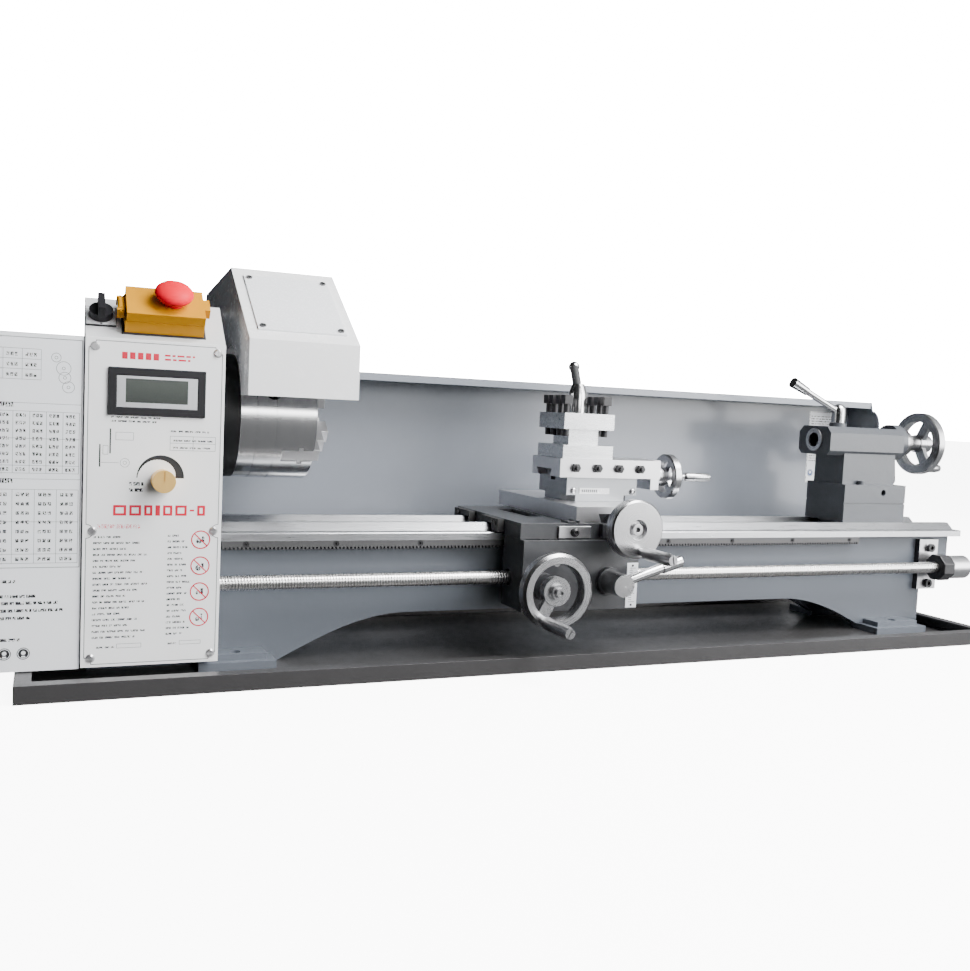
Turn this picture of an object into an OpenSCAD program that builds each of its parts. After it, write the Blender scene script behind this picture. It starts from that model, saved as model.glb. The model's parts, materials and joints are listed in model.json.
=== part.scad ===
// Bench-top screw-cutting lathe on a chip tray, swing 210 mm.
// X runs along the bed toward the tailstock, -Y is the operator's side, Z is up.
// The origin is the middle of the tray's underside.

/* [Centres] */
// Height of the spindle axis above the tray's underside
axis_z = 245; // [244:1:248]
// Diameter of the three-jaw chuck
chuck_d = 125; // [120:1:125]
// Clear bore through the spindle
spindle_bore_d = 38; // [30:1:38]

/* [Tray and backsplash] */
// Length of the chip tray
tray_l = 1120; // [1110:2:1140]
// Height of the tray's rim
tray_h = 16; // [14:1:16]
// Height of the backsplash
splash_h = 300; // [260:2:310]
// Thickness of the folded sheet
sheet_t = 2; // [1.5:0.1:2]

/* [Bed] */
// Height of the flats of the ways
way_z = 132; // [132:1:132]
// Height of the V ridges above the flats
vee_h = 8; // [6:1:8]
// Right end of the ways
bed_x1 = 592; // [585:1:600]
// Height of the arch under the bed
arch_h = 46; // [40:1:50]

/* [Rack and lead screw] */
// Module of the rack and its pinion
rack_m = 1.25; // [1.25:0.05:1.25]
// Diameter of the lead screw
screw_d = 14; // [12:1:14]
// Height of the lead screw's axis
screw_z = 86; // [86:1:86]

/* [Slides] */
// Width of the cross-slide
cross_w = 94; // [90:1:96]
// Length of the top slide
top_l = 141; // [135:1:141]
// Side of the square tool post
post_w = 64; // [60:1:66]

/* [Wheels] */
// Diameter of the carriage handwheel
carriage_wheel_d = 79; // [70:1:80]
// Diameter of the cross-slide handwheel
cross_wheel_d = 62; // [56:1:64]
// Diameter of the top slide's handwheel
top_wheel_d = 54; // [48:1:54]
// Diameter of the tailstock handwheel
tail_wheel_d = 84; // [76:1:86]

/* [Hidden] */

$fn = 64;
screw_y = -78;
tray_y0 = -150; tray_y1 = 140;
bed_x0 = -500;
web_in = 38; web_out = 50;
rail_out = 60;
foot_x = [[-402, -328], [435, 517]];
foot_y = 84; foot_top = tray_h;
bolt_x = [-365, 476]; bolt_y = 65; bolt_r = 5.5;
rack_pitch = PI * rack_m;
rack_x0 = -380; rack_x1 = 421; rack_z0 = 115; rack_z1 = 124;
pitch_z = rack_z0 + rack_m;
pinion_teeth = 14;
pinion_r = pinion_teeth * rack_m / 2;
pinion_x = -42.2; pinion_z = pitch_z - pinion_r;
wheel_x = -58; wheel_z = 82;
box_x0 = -507; box_x1 = -388; box_y0 = -105; box_y1 = -62; box_z0 = 18; box_z1 = 310;
head_x0 = -500; head_x1 = -402; head_y0 = -62; head_y1 = 80; head_z1 = 347;
knob_x = -441; knob_z = 186; selector_x = -494;
slope_a = atan2(head_z1 - box_z1, box_y1 - box_y0);
slope_l = norm([head_z1 - box_z1, box_y1 - box_y0]);
journal_r = 25; bearing_r = 40; run = 0.05;
flange_x0 = -385; plate_x0 = -365; chuck_x0 = -349; chuck_x1 = -290;
chuck_r = chuck_d / 2;
bore_r = spindle_bore_d / 2;
jaw_a = [217, 337, 97];
jaw_w = 14;
motor_y = 0; motor_z = 75;
spin_teeth = 60; a_teeth = 70; b_teeth = 60; lead_teeth = 40;
gear_x0 = -528; gear_x1 = -518;
// Places of the change gears: gear A hangs from the spindle gear, and gear B meets A and the screw
far_sa = (spin_teeth + a_teeth) / 2; far_ab = (a_teeth + b_teeth) / 2; far_bl = (b_teeth + lead_teeth) / 2;
dir_a = atan2(screw_z - axis_z, screw_y) + 9;
gear_a = [far_sa * cos(dir_a), axis_z + far_sa * sin(dir_a)];
to_screw = [screw_y, screw_z] - gear_a;
bend = acos((far_ab ^ 2 + norm(to_screw) ^ 2 - far_bl ^ 2) / (2 * far_ab * norm(to_screw)));
dir_b = atan2(to_screw[1], to_screw[0]) - bend;
gear_b = gear_a + far_ab * [cos(dir_b), sin(dir_b)];
dir_l = atan2(screw_z - gear_b[1], screw_y - gear_b[0]);
// Turn of a gear that puts its gaps on the teeth of the gear that drives it
function meshed(turn, teeth, dir, next) = dir + 180 + (dir - turn) * teeth / next + 180 / next;
turn_a = meshed(dir_a, spin_teeth, dir_a, a_teeth);
turn_b = meshed(turn_a, a_teeth, dir_b, b_teeth);
turn_l = meshed(turn_b, b_teeth, dir_l, lead_teeth);
saddle_x0 = -82; saddle_x1 = 57; saddle_y0 = -105; saddle_y1 = 74; saddle_z1 = 147;
apron_y0 = -115; apron_z0 = 55; apron_z1 = 130;
cross_x0 = -17; cross_y0 = -105; cross_y1 = 100; cross_z1 = 165;
cross_x1 = cross_x0 + cross_w;
cross_wheel_x = 29; cross_wheel_z = 146;
base_x0 = 1; base_x1 = 92; base_y0 = -45; base_y1 = 25; base_z0 = cross_z1 + 0.1; base_z1 = 192;
swivel = [40, -10];
top_x0 = -11; top_x1 = top_x0 + top_l; top_y0 = -50; top_y1 = 21; top_z0 = base_z1 + 0.1; top_z1 = 213;
post_c = [26, -13]; post_z0 = 213.1; post_z1 = 264;
tail_x0 = 410; tail_x1 = 513; tail_y = 36;
barrel_x0 = 386; barrel_x1 = 510;
quill_r = 15;

// Solids along one axis, given by their ends
module block(x, y, z) translate([x[0], y[0], z[0]]) cube([x[1] - x[0], y[1] - y[0], z[1] - z[0]]);
module rod_x(x0, x1, r, y = 0, z = 0) translate([x0, y, z]) rotate([0, 90, 0]) cylinder(h = x1 - x0, r = r);
module rod_y(y0, y1, r, x = 0, z = 0) translate([x, y1, z]) rotate([90, 0, 0]) cylinder(h = y1 - y0, r = r);
module rod_z(z0, z1, r, x = 0, y = 0) translate([x, y, z0]) cylinder(h = z1 - z0, r = r);
// A profile drawn as [y, z] and drawn out along X
module along_x(x0, x1) translate([x0, 0, 0]) rotate([90, 0, 90]) linear_extrude(x1 - x0) children();
// A profile drawn as [x, z] and drawn out along Y
module along_y(y0, y1) translate([0, y1, 0]) rotate([90, 0, 0]) linear_extrude(y1 - y0) children();
module both_sides() { children(); mirror([0, 1, 0]) children(); }
// The axis of the spindle as the local X axis
module on_axis() translate([0, 0, axis_z]) children();
// The sloped face of the control box: local X is X, local Y runs up the slope, local Z is its normal
module on_slope(x, up) translate([x, box_y0 + up * cos(slope_a), box_z1 + up * sin(slope_a)]) rotate([slope_a, 0, 0]) children();
module cap_screw(r, h) difference() {
  cylinder(h = h, r = r);
  translate([0, 0, h - 0.6 * h]) cylinder(h = h, r = 0.5 * r, $fn = 6);
}

// Outline of a spur gear whose first tooth points along the first axis
function gear_points(teeth, m, slack) = [for (i = [0:teeth - 1]) let (r = teeth * m / 2, a = 360 * i / teeth, k = 180 / PI)
  for (p = [[r - 1.25 * m, -1.08 * m + slack], [r + 0.9 * m, -0.42 * m + slack], [r + 0.9 * m, 0.42 * m - slack], [r - 1.25 * m, 1.08 * m - slack]])
    let (b = a + k * p[1] / p[0]) p[0] * [cos(b), sin(b)]];
module gear_flat(teeth, m, turn = 0, slack = 0.12) rotate(turn) polygon(gear_points(teeth, m, slack));

// Handwheel turned about its local Z axis, its face away from the machine
module wheel(d, w, hub_r, hub_h, spokes) {
  r = d / 2;
  rim = 0.14 * d;
  difference() {
    union() {
      rotate_extrude() polygon([[r - rim, 0], [r - 1.5, 0], [r, 1.5], [r, w - 3], [r - 3, w], [r - rim + 1, w], [r - rim, w - 2]]);
      cylinder(h = hub_h, r = hub_r);
      for (i = [0:spokes - 1]) rotate(90 + i * 360 / spokes) translate([hub_r - 2, -0.08 * d, 2]) cube([r - rim - hub_r + 4, 0.16 * d, 0.45 * w]);
    }
    translate([0, 0, hub_h - 4]) cylinder(h = 5, r = 0.45 * hub_r, $fn = 6);
  }
}
// Turned handle with a slotted end, standing on a wheel
module grip(l, r) difference() {
  rotate_extrude() polygon([[0, 0], [0.62 * r, 0], [0.62 * r, 0.12 * l], [r, 0.2 * l], [r, 0.85 * l], [0.8 * r, l], [0, l]]);
  translate([-r, -0.6, l - 2]) cube([2 * r, 1.2, 3]);
}

/* Frame */
module chip_tray() color("dimgray") difference() {
  block([-tray_l / 2, tray_l / 2], [tray_y0, tray_y1], [0, tray_h]);
  block([-tray_l / 2 + sheet_t, tray_l / 2 - sheet_t], [tray_y0 + sheet_t, tray_y1 - sheet_t], [sheet_t, tray_h - sheet_t]);
  block([-tray_l / 2 + 14, tray_l / 2 - 14], [tray_y0 + 14, tray_y1 - 14], [sheet_t, tray_h + 1]);
  for (x = bolt_x, y = [-bolt_y, bolt_y]) rod_z(-1, sheet_t + 1, bolt_r, x, y);
}

splash_y = 130; lip_y = 85; wing_y = 67;
module backsplash() color("slategray") {
  h = splash_h;
  block([-tray_l / 2, tray_l / 2], [splash_y, splash_y + sheet_t], [tray_h, h]);
  block([-tray_l / 2, tray_l / 2], [lip_y, splash_y], [h - sheet_t, h]);
  block([-tray_l / 2, tray_l / 2], [lip_y, lip_y + sheet_t], [h - 9, h]);
  for (s = [-1, 1]) along_x(s * tray_l / 2 - (s > 0 ? sheet_t : 0), s * tray_l / 2 + (s > 0 ? 0 : sheet_t))
    polygon(concat([[splash_y, tray_h], [splash_y, h], [lip_y, h]],
      [for (i = [0:6]) [wing_y + 15 * (1 - sin(15 * i)), h - 12 - 24 * (1 - cos(15 * i))]], [[wing_y, tray_h]]));
}

function arch(x, a, b) = [x, sheet_t + (arch_h - sheet_t) * sin(90 * (x - a) / (b - a))];
module bed_side() polygon(concat(
  [[bed_x0, sheet_t], [-320, sheet_t]], [for (i = [1:8]) arch(-320 + 134 * i / 8, -320, -186)],
  [for (i = [0:7]) arch(310 + 138 * i / 8, 448, 310)], [[448, sheet_t], [535, sheet_t], [535, 84], [bed_x1 - 12, 98], [bed_x1 - 12, 124.5], [bed_x0, 124.5]]));
rib_x = [-340, -200, -40, 120, 280, 430];
module bed() color("slategray") difference() {
  union() {
    both_sides() along_y(web_in, web_out) bed_side();
    for (x = rib_x) block([x, x + 10], [-web_in - 1, web_in + 1], [arch_h + 8, 108]);
    block([525, 535], [-web_in - 1, web_in + 1], [sheet_t, 108]);
    both_sides() along_x(bed_x0, bed_x1) polygon([[rail_out, 124], [rail_out, way_z - 1], [rail_out - 1, way_z], [46, way_z],
      [37, way_z + vee_h], [31, way_z + vee_h], [22, way_z], [22, 126], [24, 124]]);
    for (x = foot_x, s = [-1, 1]) {
      block(x, s > 0 ? [web_in, foot_y] : [-foot_y, -web_in], [sheet_t, foot_top - 6]);
      block([x[0] + 8, x[1] - 8], s > 0 ? [web_in, foot_y - 8] : [8 - foot_y, -web_in], [sheet_t, foot_top]);
    }
  }
  for (x = bolt_x, y = [-bolt_y, bolt_y]) rod_z(0, foot_top + 1, bolt_r, x, y);
  for (x = rack_screw_x) rod_y(-rail_out, -web_in - 4, 2, x, 120.6);
}

rack_screw_x = [for (i = [0:2]) -356.5 + 90.3 * i, for (i = [0:3]) 129.9 + 90.3 * i];
rack_turns = floor((rack_x1 - rack_x0) / rack_pitch);
// Teeth of the rack lie at whole pitches from the pinion's middle, so that the pinion drops into a gap
function tooth(i) = let (x = pinion_x + (i + 0.5) * rack_pitch) [[x - 1.3, rack_z0 + 2.8], [x - 0.5, rack_z0], [x + 0.5, rack_z0], [x + 1.3, rack_z0 + 2.8]];
module rack() color("silver") {
  first = ceil((rack_x0 - pinion_x) / rack_pitch);
  mid = floor((20 - pinion_x) / rack_pitch);
  last = floor((rack_x1 - pinion_x) / rack_pitch) - 1;
  for (span = [[first, mid - 1], [mid, last]]) difference() {
    along_y(-rail_out, -web_out) polygon(concat(
      [[pinion_x + span[0] * rack_pitch + 0.1, rack_z1], [pinion_x + span[0] * rack_pitch + 0.1, rack_z0 + 2.8]],
      [for (i = [span[0]:span[1]]) each tooth(i)],
      [[pinion_x + (span[1] + 1) * rack_pitch - 0.1, rack_z0 + 2.8], [pinion_x + (span[1] + 1) * rack_pitch - 0.1, rack_z1]]));
    for (x = rack_screw_x) { rod_y(-rail_out - 1, -web_out + 1, 2, x, 120.6); rod_y(-rail_out - 1, -rail_out + 3.5, 3.2, x, 120.6); }
  }
}
module rack_screws() color("dimgray") for (x = rack_screw_x) difference() {
  union() { rod_y(-rail_out + 0.5, -rail_out + 3.5, 3.2, x, 120.6); rod_y(-rail_out + 3.4, -web_out + 6, 2, x, 120.6); }
  translate([x, -rail_out + 2.5, 120.6]) rotate([90, 0, 0]) cylinder(h = 3, r = 1.6, $fn = 6);
}

module leadscrew_bracket_right() color("gray") {
  difference() {
    union() {
      block([523, 555], [-58, -web_out], [54, 120]);
      block([549, 562], [-78, -web_out], [74, 98]);
      rod_x(549, 579, 15, screw_y, screw_z);
    }
    rod_x(548, 572, screw_d / 2 + run, screw_y, screw_z);
    for (p = [[540, 109], [539, 62]]) rod_y(-59, -49, 3.5, p[0], p[1]);
  }
  for (p = [[540, 109], [539, 62]]) translate([p[0], -58, p[1]]) rotate([90, 0, 0]) cap_screw(5.5, 5);
  for (p = [[540, 109], [539, 62]]) rod_y(-58, -50, 3.5, p[0], p[1]);
}
module leadscrew_bracket_left() color("gray") difference() {
  union() {
    block([-498, -470], [-88, -web_out], [74, 98]);
    block([-498, -470], [-58, -web_out], [60, 118]);
    rod_x(-516, -470, 13, screw_y, screw_z);
  }
  rod_x(-517, -469, screw_d / 2 + run, screw_y, screw_z);
}

module headstock() color("slategray") difference() {
  union() {
    difference() {
      block([head_x0, head_x1], [head_y0, head_y1], [way_z, head_z1]);
      block([head_x0 + 10, head_x1 - 10], [head_y0 + 10, head_y1 - 10], [way_z + 18, head_z1 - 10]);
    }
    rod_x(head_x0, head_x0 + 22, 47, 0, axis_z);
    rod_x(head_x1 - 22, -388, 44, 0, axis_z);
  }
  both_sides() block([head_x0 - 1, head_x1 + 1], [20, 48], [way_z - 1, way_z + vee_h + 1]);
  rod_x(head_x0 - 1, head_x0 + 20, bearing_r, 0, axis_z);
  rod_x(head_x0 + 19, head_x0 + 23, 34, 0, axis_z);
  rod_x(head_x1 - 23, head_x1 - 6, 34, 0, axis_z);
  rod_x(head_x1 - 6, -387, bearing_r, 0, axis_z);
  for (z = [160, 290]) rod_x(head_x0 - 1, head_x0 + 5, 4, 52, z);
}
module spindle_bearings() color("silver") for (x = [head_x0, head_x1 - 6]) difference() {
  rod_x(x, x + 20, bearing_r - 0.02, 0, axis_z);
  rod_x(x - 1, x + 21, journal_r + run, 0, axis_z);
  for (e = [x - 1, x + 17]) difference() {
    rod_x(e, e + 4, 36, 0, axis_z);
    rod_x(e - 1, e + 5, 30, 0, axis_z);
  }
}

module box_side(t) polygon([[box_y0 + t, box_z0 + t], [box_y0 + t, box_z1 - 0.4 * t], [box_y1, head_z1 - 1.5 * t],
  [box_y1 + (t > 0 ? 1 : 0), head_z1 - 1.5 * t], [box_y1 + (t > 0 ? 1 : 0), box_z0 + t]]);
module control_box() color("whitesmoke") difference() {
  union() {
    along_x(box_x0, box_x1) box_side(0);
    on_slope(selector_x, 28) translate([-12.5, -12.5, -1]) cube([25, 25, 3]);
  }
  along_x(box_x0 + sheet_t, box_x1 - sheet_t) box_side(sheet_t);
  rod_x(box_x0 - 1, box_x1 + 1, 14, screw_y, screw_z);
  rod_y(box_y0 - 1, box_y0 + 3, 5, knob_x, knob_z);
  block([-484, -409], [box_y0 - 1, box_y0 + 3], [248, 280]);
  on_slope(selector_x, 28) translate([0, 0, -4]) cylinder(h = 7, r = 4.2);
}
panel_screw_x = [-499, -395]; panel_screw_z = [26, 140, 302];
module panel_plate() color("ghostwhite") difference() {
  block([box_x0, box_x1], [box_y0 - 2, box_y0], [box_z0, box_z1]);
  rod_y(box_y0 - 3, box_y0 + 1, 5, knob_x, knob_z);
  block([-484, -409], [box_y0 - 3, box_y0 + 1], [248, 280]);
}
module panel_screws() color("silver") for (x = panel_screw_x, z = panel_screw_z) difference() {
  translate([x, box_y0 - 2, z]) rotate([90, 0, 0]) cylinder(h = 1.6, r1 = 4, r2 = 2.6);
  block([x - 0.5, x + 0.5], [box_y0 - 5, box_y0 - 2.8], [z - 5, z + 5]);
  block([x - 5, x + 5], [box_y0 - 5, box_y0 - 2.8], [z - 0.5, z + 0.5]);
}
module display() color("black") difference() {
  union() {
    block([-488, -405], [box_y0 - 4, box_y0 - 2], [243, 285]);
    block([-484, -409], [box_y0 - 2, box_y0 + 12], [248, 280]);
  }
  block([-481, -412], [box_y0 - 5, box_y0 - 3], [250, 278]);
}
module speed_board() color("darkgreen") {
  block([-500, -400], [-80, -78], [150, 300]);
  rod_y(-100.5, -80, 8, knob_x, knob_z);
  for (z = [210, 240]) block([-492, -470], [-78, -64], [z, z + 16]);
  block([-456, -416], [-78, -66], [215, 262]);
}

module selector_knob() color("#202020") on_slope(selector_x, 28) {
  translate([0, 0, -6]) cylinder(h = 9, r = 4.1);
  translate([0, 0, 2.4]) cylinder(h = 7, r = 10);
  translate([-3, -11, 8]) cube([6, 22, 11]);
}
module speed_knob() color("goldenrod") difference() {
  union() {
    rod_y(-126, box_y0 - 2.5, 10, knob_x, knob_z);
    rod_y(box_y0 - 3, -101, 4.5, knob_x, knob_z);
  }
  block([knob_x - 0.6, knob_x + 0.6], [-127, -124.5], [knob_z, knob_z + 11]);
}
estop_x = -441;
module estop_base() color("gold") on_slope(estop_x, 28) difference() {
  union() {
    translate([-34, -20, 0]) cube([68, 40, 13]);
    translate([-39, -7, 9]) cube([6, 14, 4]);
    for (s = [-1, 1]) translate([-40.5, s * 9 - 1.5, 9]) cube([6, 3, 9]);
  }
  translate([-37.5, 20, 16]) rotate([90, 0, 0]) cylinder(h = 40, r = 1.5);
}
module estop_cover() color("gold") on_slope(estop_x, 28) difference() {
  union() {
    translate([-33, -20, 13.3]) cube([67, 40, 9]);
    translate([-37.5, 7, 16]) rotate([90, 0, 0]) cylinder(h = 14, r = 2.5);
    translate([-37.5, 12, 16]) rotate([90, 0, 0]) cylinder(h = 24, r = 1.45);
    translate([-37, -7, 14.5]) cube([5, 14, 3]);
    translate([34, -8, 13.3]) cube([5, 16, 9]);
  }
  translate([7, 0, 12]) cylinder(h = 12, r = 9.1);
}
module estop_button() color("red") on_slope(estop_x + 7, 28) rotate_extrude()
  polygon(concat([[0, 17], [9, 17], [9, 27], [15, 28.5], [17, 32]], [for (i = [1:5]) [17 * cos(15 * i), 32 + 8 * sin(15 * i)]], [[0, 40]]));

module motor() color("#303438") difference() {
  union() {
    rod_x(-500, -382, 34, motor_y, motor_z);
    block([-506, -500], [-50, 50], [38, 112]);
    for (y = [-34, 34]) block([-480, -400], [y - 3, y + 3], [motor_z - 8, motor_z + 8]);
  }
  rod_x(-507, -395, 6.05, motor_y, motor_z);
}
module motor_rotor() color("silver") {
  rod_x(-558, -396, 6, motor_y, motor_z);
  difference() {
    rod_x(-556, -536, 21, motor_y, motor_z);
    difference() { rod_x(-554, -538, 23, motor_y, motor_z); rod_x(-555, -537, 19.4, motor_y, motor_z); }
  }
}
belt_top_r = 45; belt_low_r = 19.4;
function ring(r, z, a0, a1) = [for (i = [0:24]) let (a = a0 + (a1 - a0) * i / 24) [r * cos(a), z + r * sin(a)]];
module belt_loop(g) {
  lean = asin((belt_top_r - belt_low_r) / (axis_z - motor_z));
  polygon(concat(ring(belt_top_r + g, axis_z, -lean, 180 + lean), ring(belt_low_r + g, motor_z, 180 + lean, 360 - lean)));
}
module drive_belt() color("#181818") along_x(-553.5, -538.5) difference() { belt_loop(4); belt_loop(0.6); }

/* Spindle and chuck */
module spindle() color("silver") on_axis() difference() {
  union() {
    rod_x(-606, flange_x0, journal_r);
    rod_x(flange_x0, plate_x0, 62);
    rod_x(-578, -568, 32);
  }
  rod_x(-607, plate_x0 + 1, bore_r);
  for (i = [0:2]) rotate([60 * 2 * i + 30, 0, 0]) rod_x(flange_x0 - 1, plate_x0 + 1, 4.1, 0, 52);
}
module spindle_pulley() color("silver") on_axis() difference() {
  rod_x(-556, -536, belt_top_r + 3);
  difference() { rod_x(-554, -538, belt_top_r + 4); rod_x(-555, -537, belt_top_r); }
  rod_x(-557, -535, journal_r);
  for (i = [0:5]) rotate([60 * i, 0, 0]) rod_x(-557, -535, 6, 0, 35);
}
module spindle_gear() color("#606060") difference() {
  translate([0, 0, axis_z]) along_x(gear_x0, gear_x1) gear_flat(spin_teeth, 1, dir_a);
  rod_x(gear_x0 - 1, gear_x1 + 1, journal_r, 0, axis_z);
}
module chuck_backplate() color("#303030") on_axis() {
  difference() {
    rod_x(plate_x0, chuck_x0, 62);
    rod_x(plate_x0 - 1, chuck_x0 + 1, 20);
  }
  for (i = [0:2]) rotate([120 * i + 30, 0, 0]) {
    rod_x(flange_x0 - 8, plate_x0, 4, 0, 52);
    translate([flange_x0 - 7, 0, 52]) rotate([0, 90, 0]) cylinder(h = 6.9, r = 7, $fn = 6);
  }
}
module chuck_body() color("silver") on_axis() difference() {
  union() {
    rod_x(chuck_x0, chuck_x1 - 1.5, chuck_r);
    rod_x(chuck_x1 - 1.6, chuck_x1, chuck_r - 1.5);
  }
  rod_x(chuck_x0 - 1, chuck_x1 + 1, 16);
  difference() { rod_x(-331.5, -330, chuck_r + 1); rod_x(-332, -329, chuck_r - 0.8); }
  difference() { rod_x(-341, -322, 50); rod_x(-342, -321, 17); }
  for (a = jaw_a) rotate([a, 0, 0]) {
    block([-322.5, chuck_x1 + 1], [0, chuck_r + 2], [-jaw_w / 2 - 0.1, jaw_w / 2 + 0.1]);
    block([-306.1, -300.9], [0, chuck_r + 2], [-jaw_w / 2 - 3.1, jaw_w / 2 + 3.1]);
    rotate([60, 0, 0]) key_socket();
  }
}
module key_socket() {
  rod_y(40, chuck_r + 2, 7, -333, 0);
  block([-338, -328], [36, 52], [-5, 5]);
}
module chuck_scroll() color("gray") on_axis() difference() {
  rod_x(-340.8, -322.2, 49.8);
  rod_x(-342, -321, 17.2);
  difference() { rod_x(-326, -321, 51); rod_x(-327, -320, 47); }
  for (r = [22, 28, 34, 40]) difference() { rod_x(-324.5, -321, r + 3); rod_x(-325, -320, r); }
  difference() { rod_x(-342, -327, 51); rod_x(-343, -326, 34.5); }
}
module jaw(a) color("gray") on_axis() rotate([a, 0, 0]) difference() {
  union() {
    translate([0, 0, -jaw_w / 2]) linear_extrude(jaw_w) polygon([[-322, 14], [-290, 14], [-270, 12], [-270, 30], [-277, 30], [-277, 45],
      [-284, 45], [-284, 60], [-322, 60]]);
    block([-306, -301], [14, 60], [-jaw_w / 2 - 3, jaw_w / 2 + 3]);
  }
}
module chuck_jaw_1() jaw(jaw_a[0]);
module chuck_jaw_2() jaw(jaw_a[1]);
module chuck_jaw_3() jaw(jaw_a[2]);

/* Chuck guard */
guard_x0 = -367; guard_x1 = -262; hinge_y = 96; hinge_z = 352;
module guard_block(t) intersection() {
  along_x(-400, -200) polygon([[-108 + t, 240], [-108 + t, 318 - 0.4 * t], [10, 395 - 1.2 * t], [87 - 0.3 * t, 373 - 1.1 * t],
    [117 - 1.2 * t, 326], [72 - t, 300], [60 - t, 240]]);
  translate([0, 0, 200]) linear_extrude(300) polygon([[guard_x0 + t, -109], [guard_x1 - t, -109], [guard_x1 - t, 120], [-380 + t, 120], [-380 + t, 87], [guard_x0 + t, 10]]);
}
module guard_hood() color("white") {
  difference() {
    guard_block(0);
    difference() { guard_block(2); }
    block([-400, -250], [-200, 116], [200, 266]);
    rod_x(-400, -250, 71, 0, axis_z);
    block([-400, -250], [0, 200], [200, 300]);
    translate([0, -108, 318]) rotate([atan2(77, 118), 0, 0]) block([-349, -280], [24, 116], [-6, 1]);
  }
  // hinge barrel on the hood's left side
  difference() { union() { rod_x(-398, -381, 5, hinge_y, hinge_z); block([-384, -378], [hinge_y - 5, hinge_y + 5], [hinge_z - 5, hinge_z + 5]); } rod_x(-399, -377, 2.55, hinge_y, hinge_z); }
}
module guard_window() color("lightgray") translate([0, -108, 318]) rotate([atan2(77, 118), 0, 0]) {
  block([-357, -272], [16, 124], [0, 1.6]);
  for (x = [-352, -277], y = [22, 118]) translate([x, y, 1.6]) cap_screw(3, 1.4);
}
module guard_bracket() color("dimgray") {
  rod_x(-424, -380, 2.5, hinge_y, hinge_z);
  block([-424, -404], [head_y1, hinge_y + 5], [hinge_z - 14, hinge_z + 5]);
  block([-424, -404], [head_y1 - 26, head_y1], [head_z1, head_z1 + 5]);
}

/* End cover and change gears */
module gear_cover() color("whitesmoke") {
  difference() {
    block([-622, -508], [box_y0, 62], [17, 310]);
    block([-620, -507], [box_y0 + 2, 60], [19, 308]);
    rod_x(-623, -619, 28, 0, axis_z);
    for (z = [160, 290]) rod_x(-623, -619, 4.1, 52, z);
  }
  for (z = [160, 290]) difference() { rod_x(-632, -622, 9, 52, z); rod_x(-633, -621, 4.1, 52, z); }
}
module gear_banjo() color("dimgray") {
  difference() {
    union() {
      for (p = [[[screw_y, screw_z], gear_b], [gear_b, gear_a]]) let (d = p[1] - p[0])
        translate([-516, p[0][0], p[0][1]]) rotate([90, 0, 90]) rotate(atan2(d[1], d[0])) translate([0, -8, 0]) cube([norm(d), 16, 6]);
      rod_x(-516, -510, 22, screw_y, screw_z);
      for (p = [gear_a, gear_b]) rod_x(-516.5, -510, 13, p[0], p[1]);
    }
    rod_x(-517, -509, 13, screw_y, screw_z);
  }
  for (p = [gear_a, gear_b]) { rod_x(-530, -512, 6, p[0], p[1]); rod_x(-534, -529, 8, p[0], p[1]); }
  for (z = [160, 290]) { rod_x(-620, head_x0, 4, 52, z); }
}
module idler(p, teeth, turn) color("#606060") difference() {
  translate([0, p[0], p[1]]) along_x(gear_x0, gear_x1) gear_flat(teeth, 1, turn);
  rod_x(gear_x0 - 1, gear_x1 + 1, 6.05, p[0], p[1]);
  for (i = [0:4]) translate([0, p[0], p[1]]) rotate([72 * i, 0, 0]) rod_x(gear_x0 - 1, gear_x1 + 1, 7, 0, 20);
}
module idler_gear_a() idler(gear_a, a_teeth, turn_a);
module idler_gear_b() idler(gear_b, b_teeth, turn_b);
module leadscrew() color("silver") {
  rod_x(-530, 570, screw_d / 2, screw_y, screw_z);
  for (x = [-469, 546]) rod_x(x, x + 2.5, screw_d / 2 + 4, screw_y, screw_z);
  difference() {
    translate([0, screw_y, screw_z]) along_x(gear_x0, gear_x1) gear_flat(lead_teeth, 1, turn_l);
    rod_x(gear_x0 - 1, gear_x1 + 1, screw_d / 2, screw_y, screw_z);
  }
}

/* Carriage */
dove_x = 30; dove_z = 157;
module dove(c, low, high, z0, z1) polygon([[c - low, z0], [c + low, z0], [c + high, z1], [c - high, z1]]);
module saddle() color("#4a4d52") difference() {
  union() {
    block([saddle_x0, saddle_x1], [-74, saddle_y1], [way_z + 0.1, saddle_z1]);
    block([saddle_x0, saddle_x1], [saddle_y0, -rail_out - 0.4], [apron_z1, saddle_z1]);
    block([saddle_x0, saddle_x1], [rail_out + 0.4, saddle_y1], [114, saddle_z1]);
    block([saddle_x0 + 10, saddle_x1 - 10], [web_out + 0.6, rail_out + 2], [114, 123.6]);
    along_y(-100, saddle_y1) dove(dove_x, 16, 20, saddle_z1, dove_z);
    block([-27, -17.2], [saddle_y0, saddle_y0 + 16], [saddle_z1, saddle_z1 + 2]);
    rod_y(-138, -99, 10, cross_wheel_x, cross_wheel_z);
    block([12, 46], [-112, saddle_y0], [apron_z1 + 2, saddle_z1]);
  }
  both_sides() block([saddle_x0 - 1, saddle_x1 + 1], [20, 48], [way_z - 1, way_z + vee_h + 0.6]);
  rod_y(-139, saddle_y1 + 1, 5.05, cross_wheel_x, cross_wheel_z);
  block([21.6, 36.4], [-48, 42], [136, dove_z + 1]);
  block([-70, -14], [-101, -89], [apron_z1 - 1, apron_z1 + 3]);
  block([-45, -25], [-40, 40], [saddle_z1 - 4, saddle_z1 + 1]);
}
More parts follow.
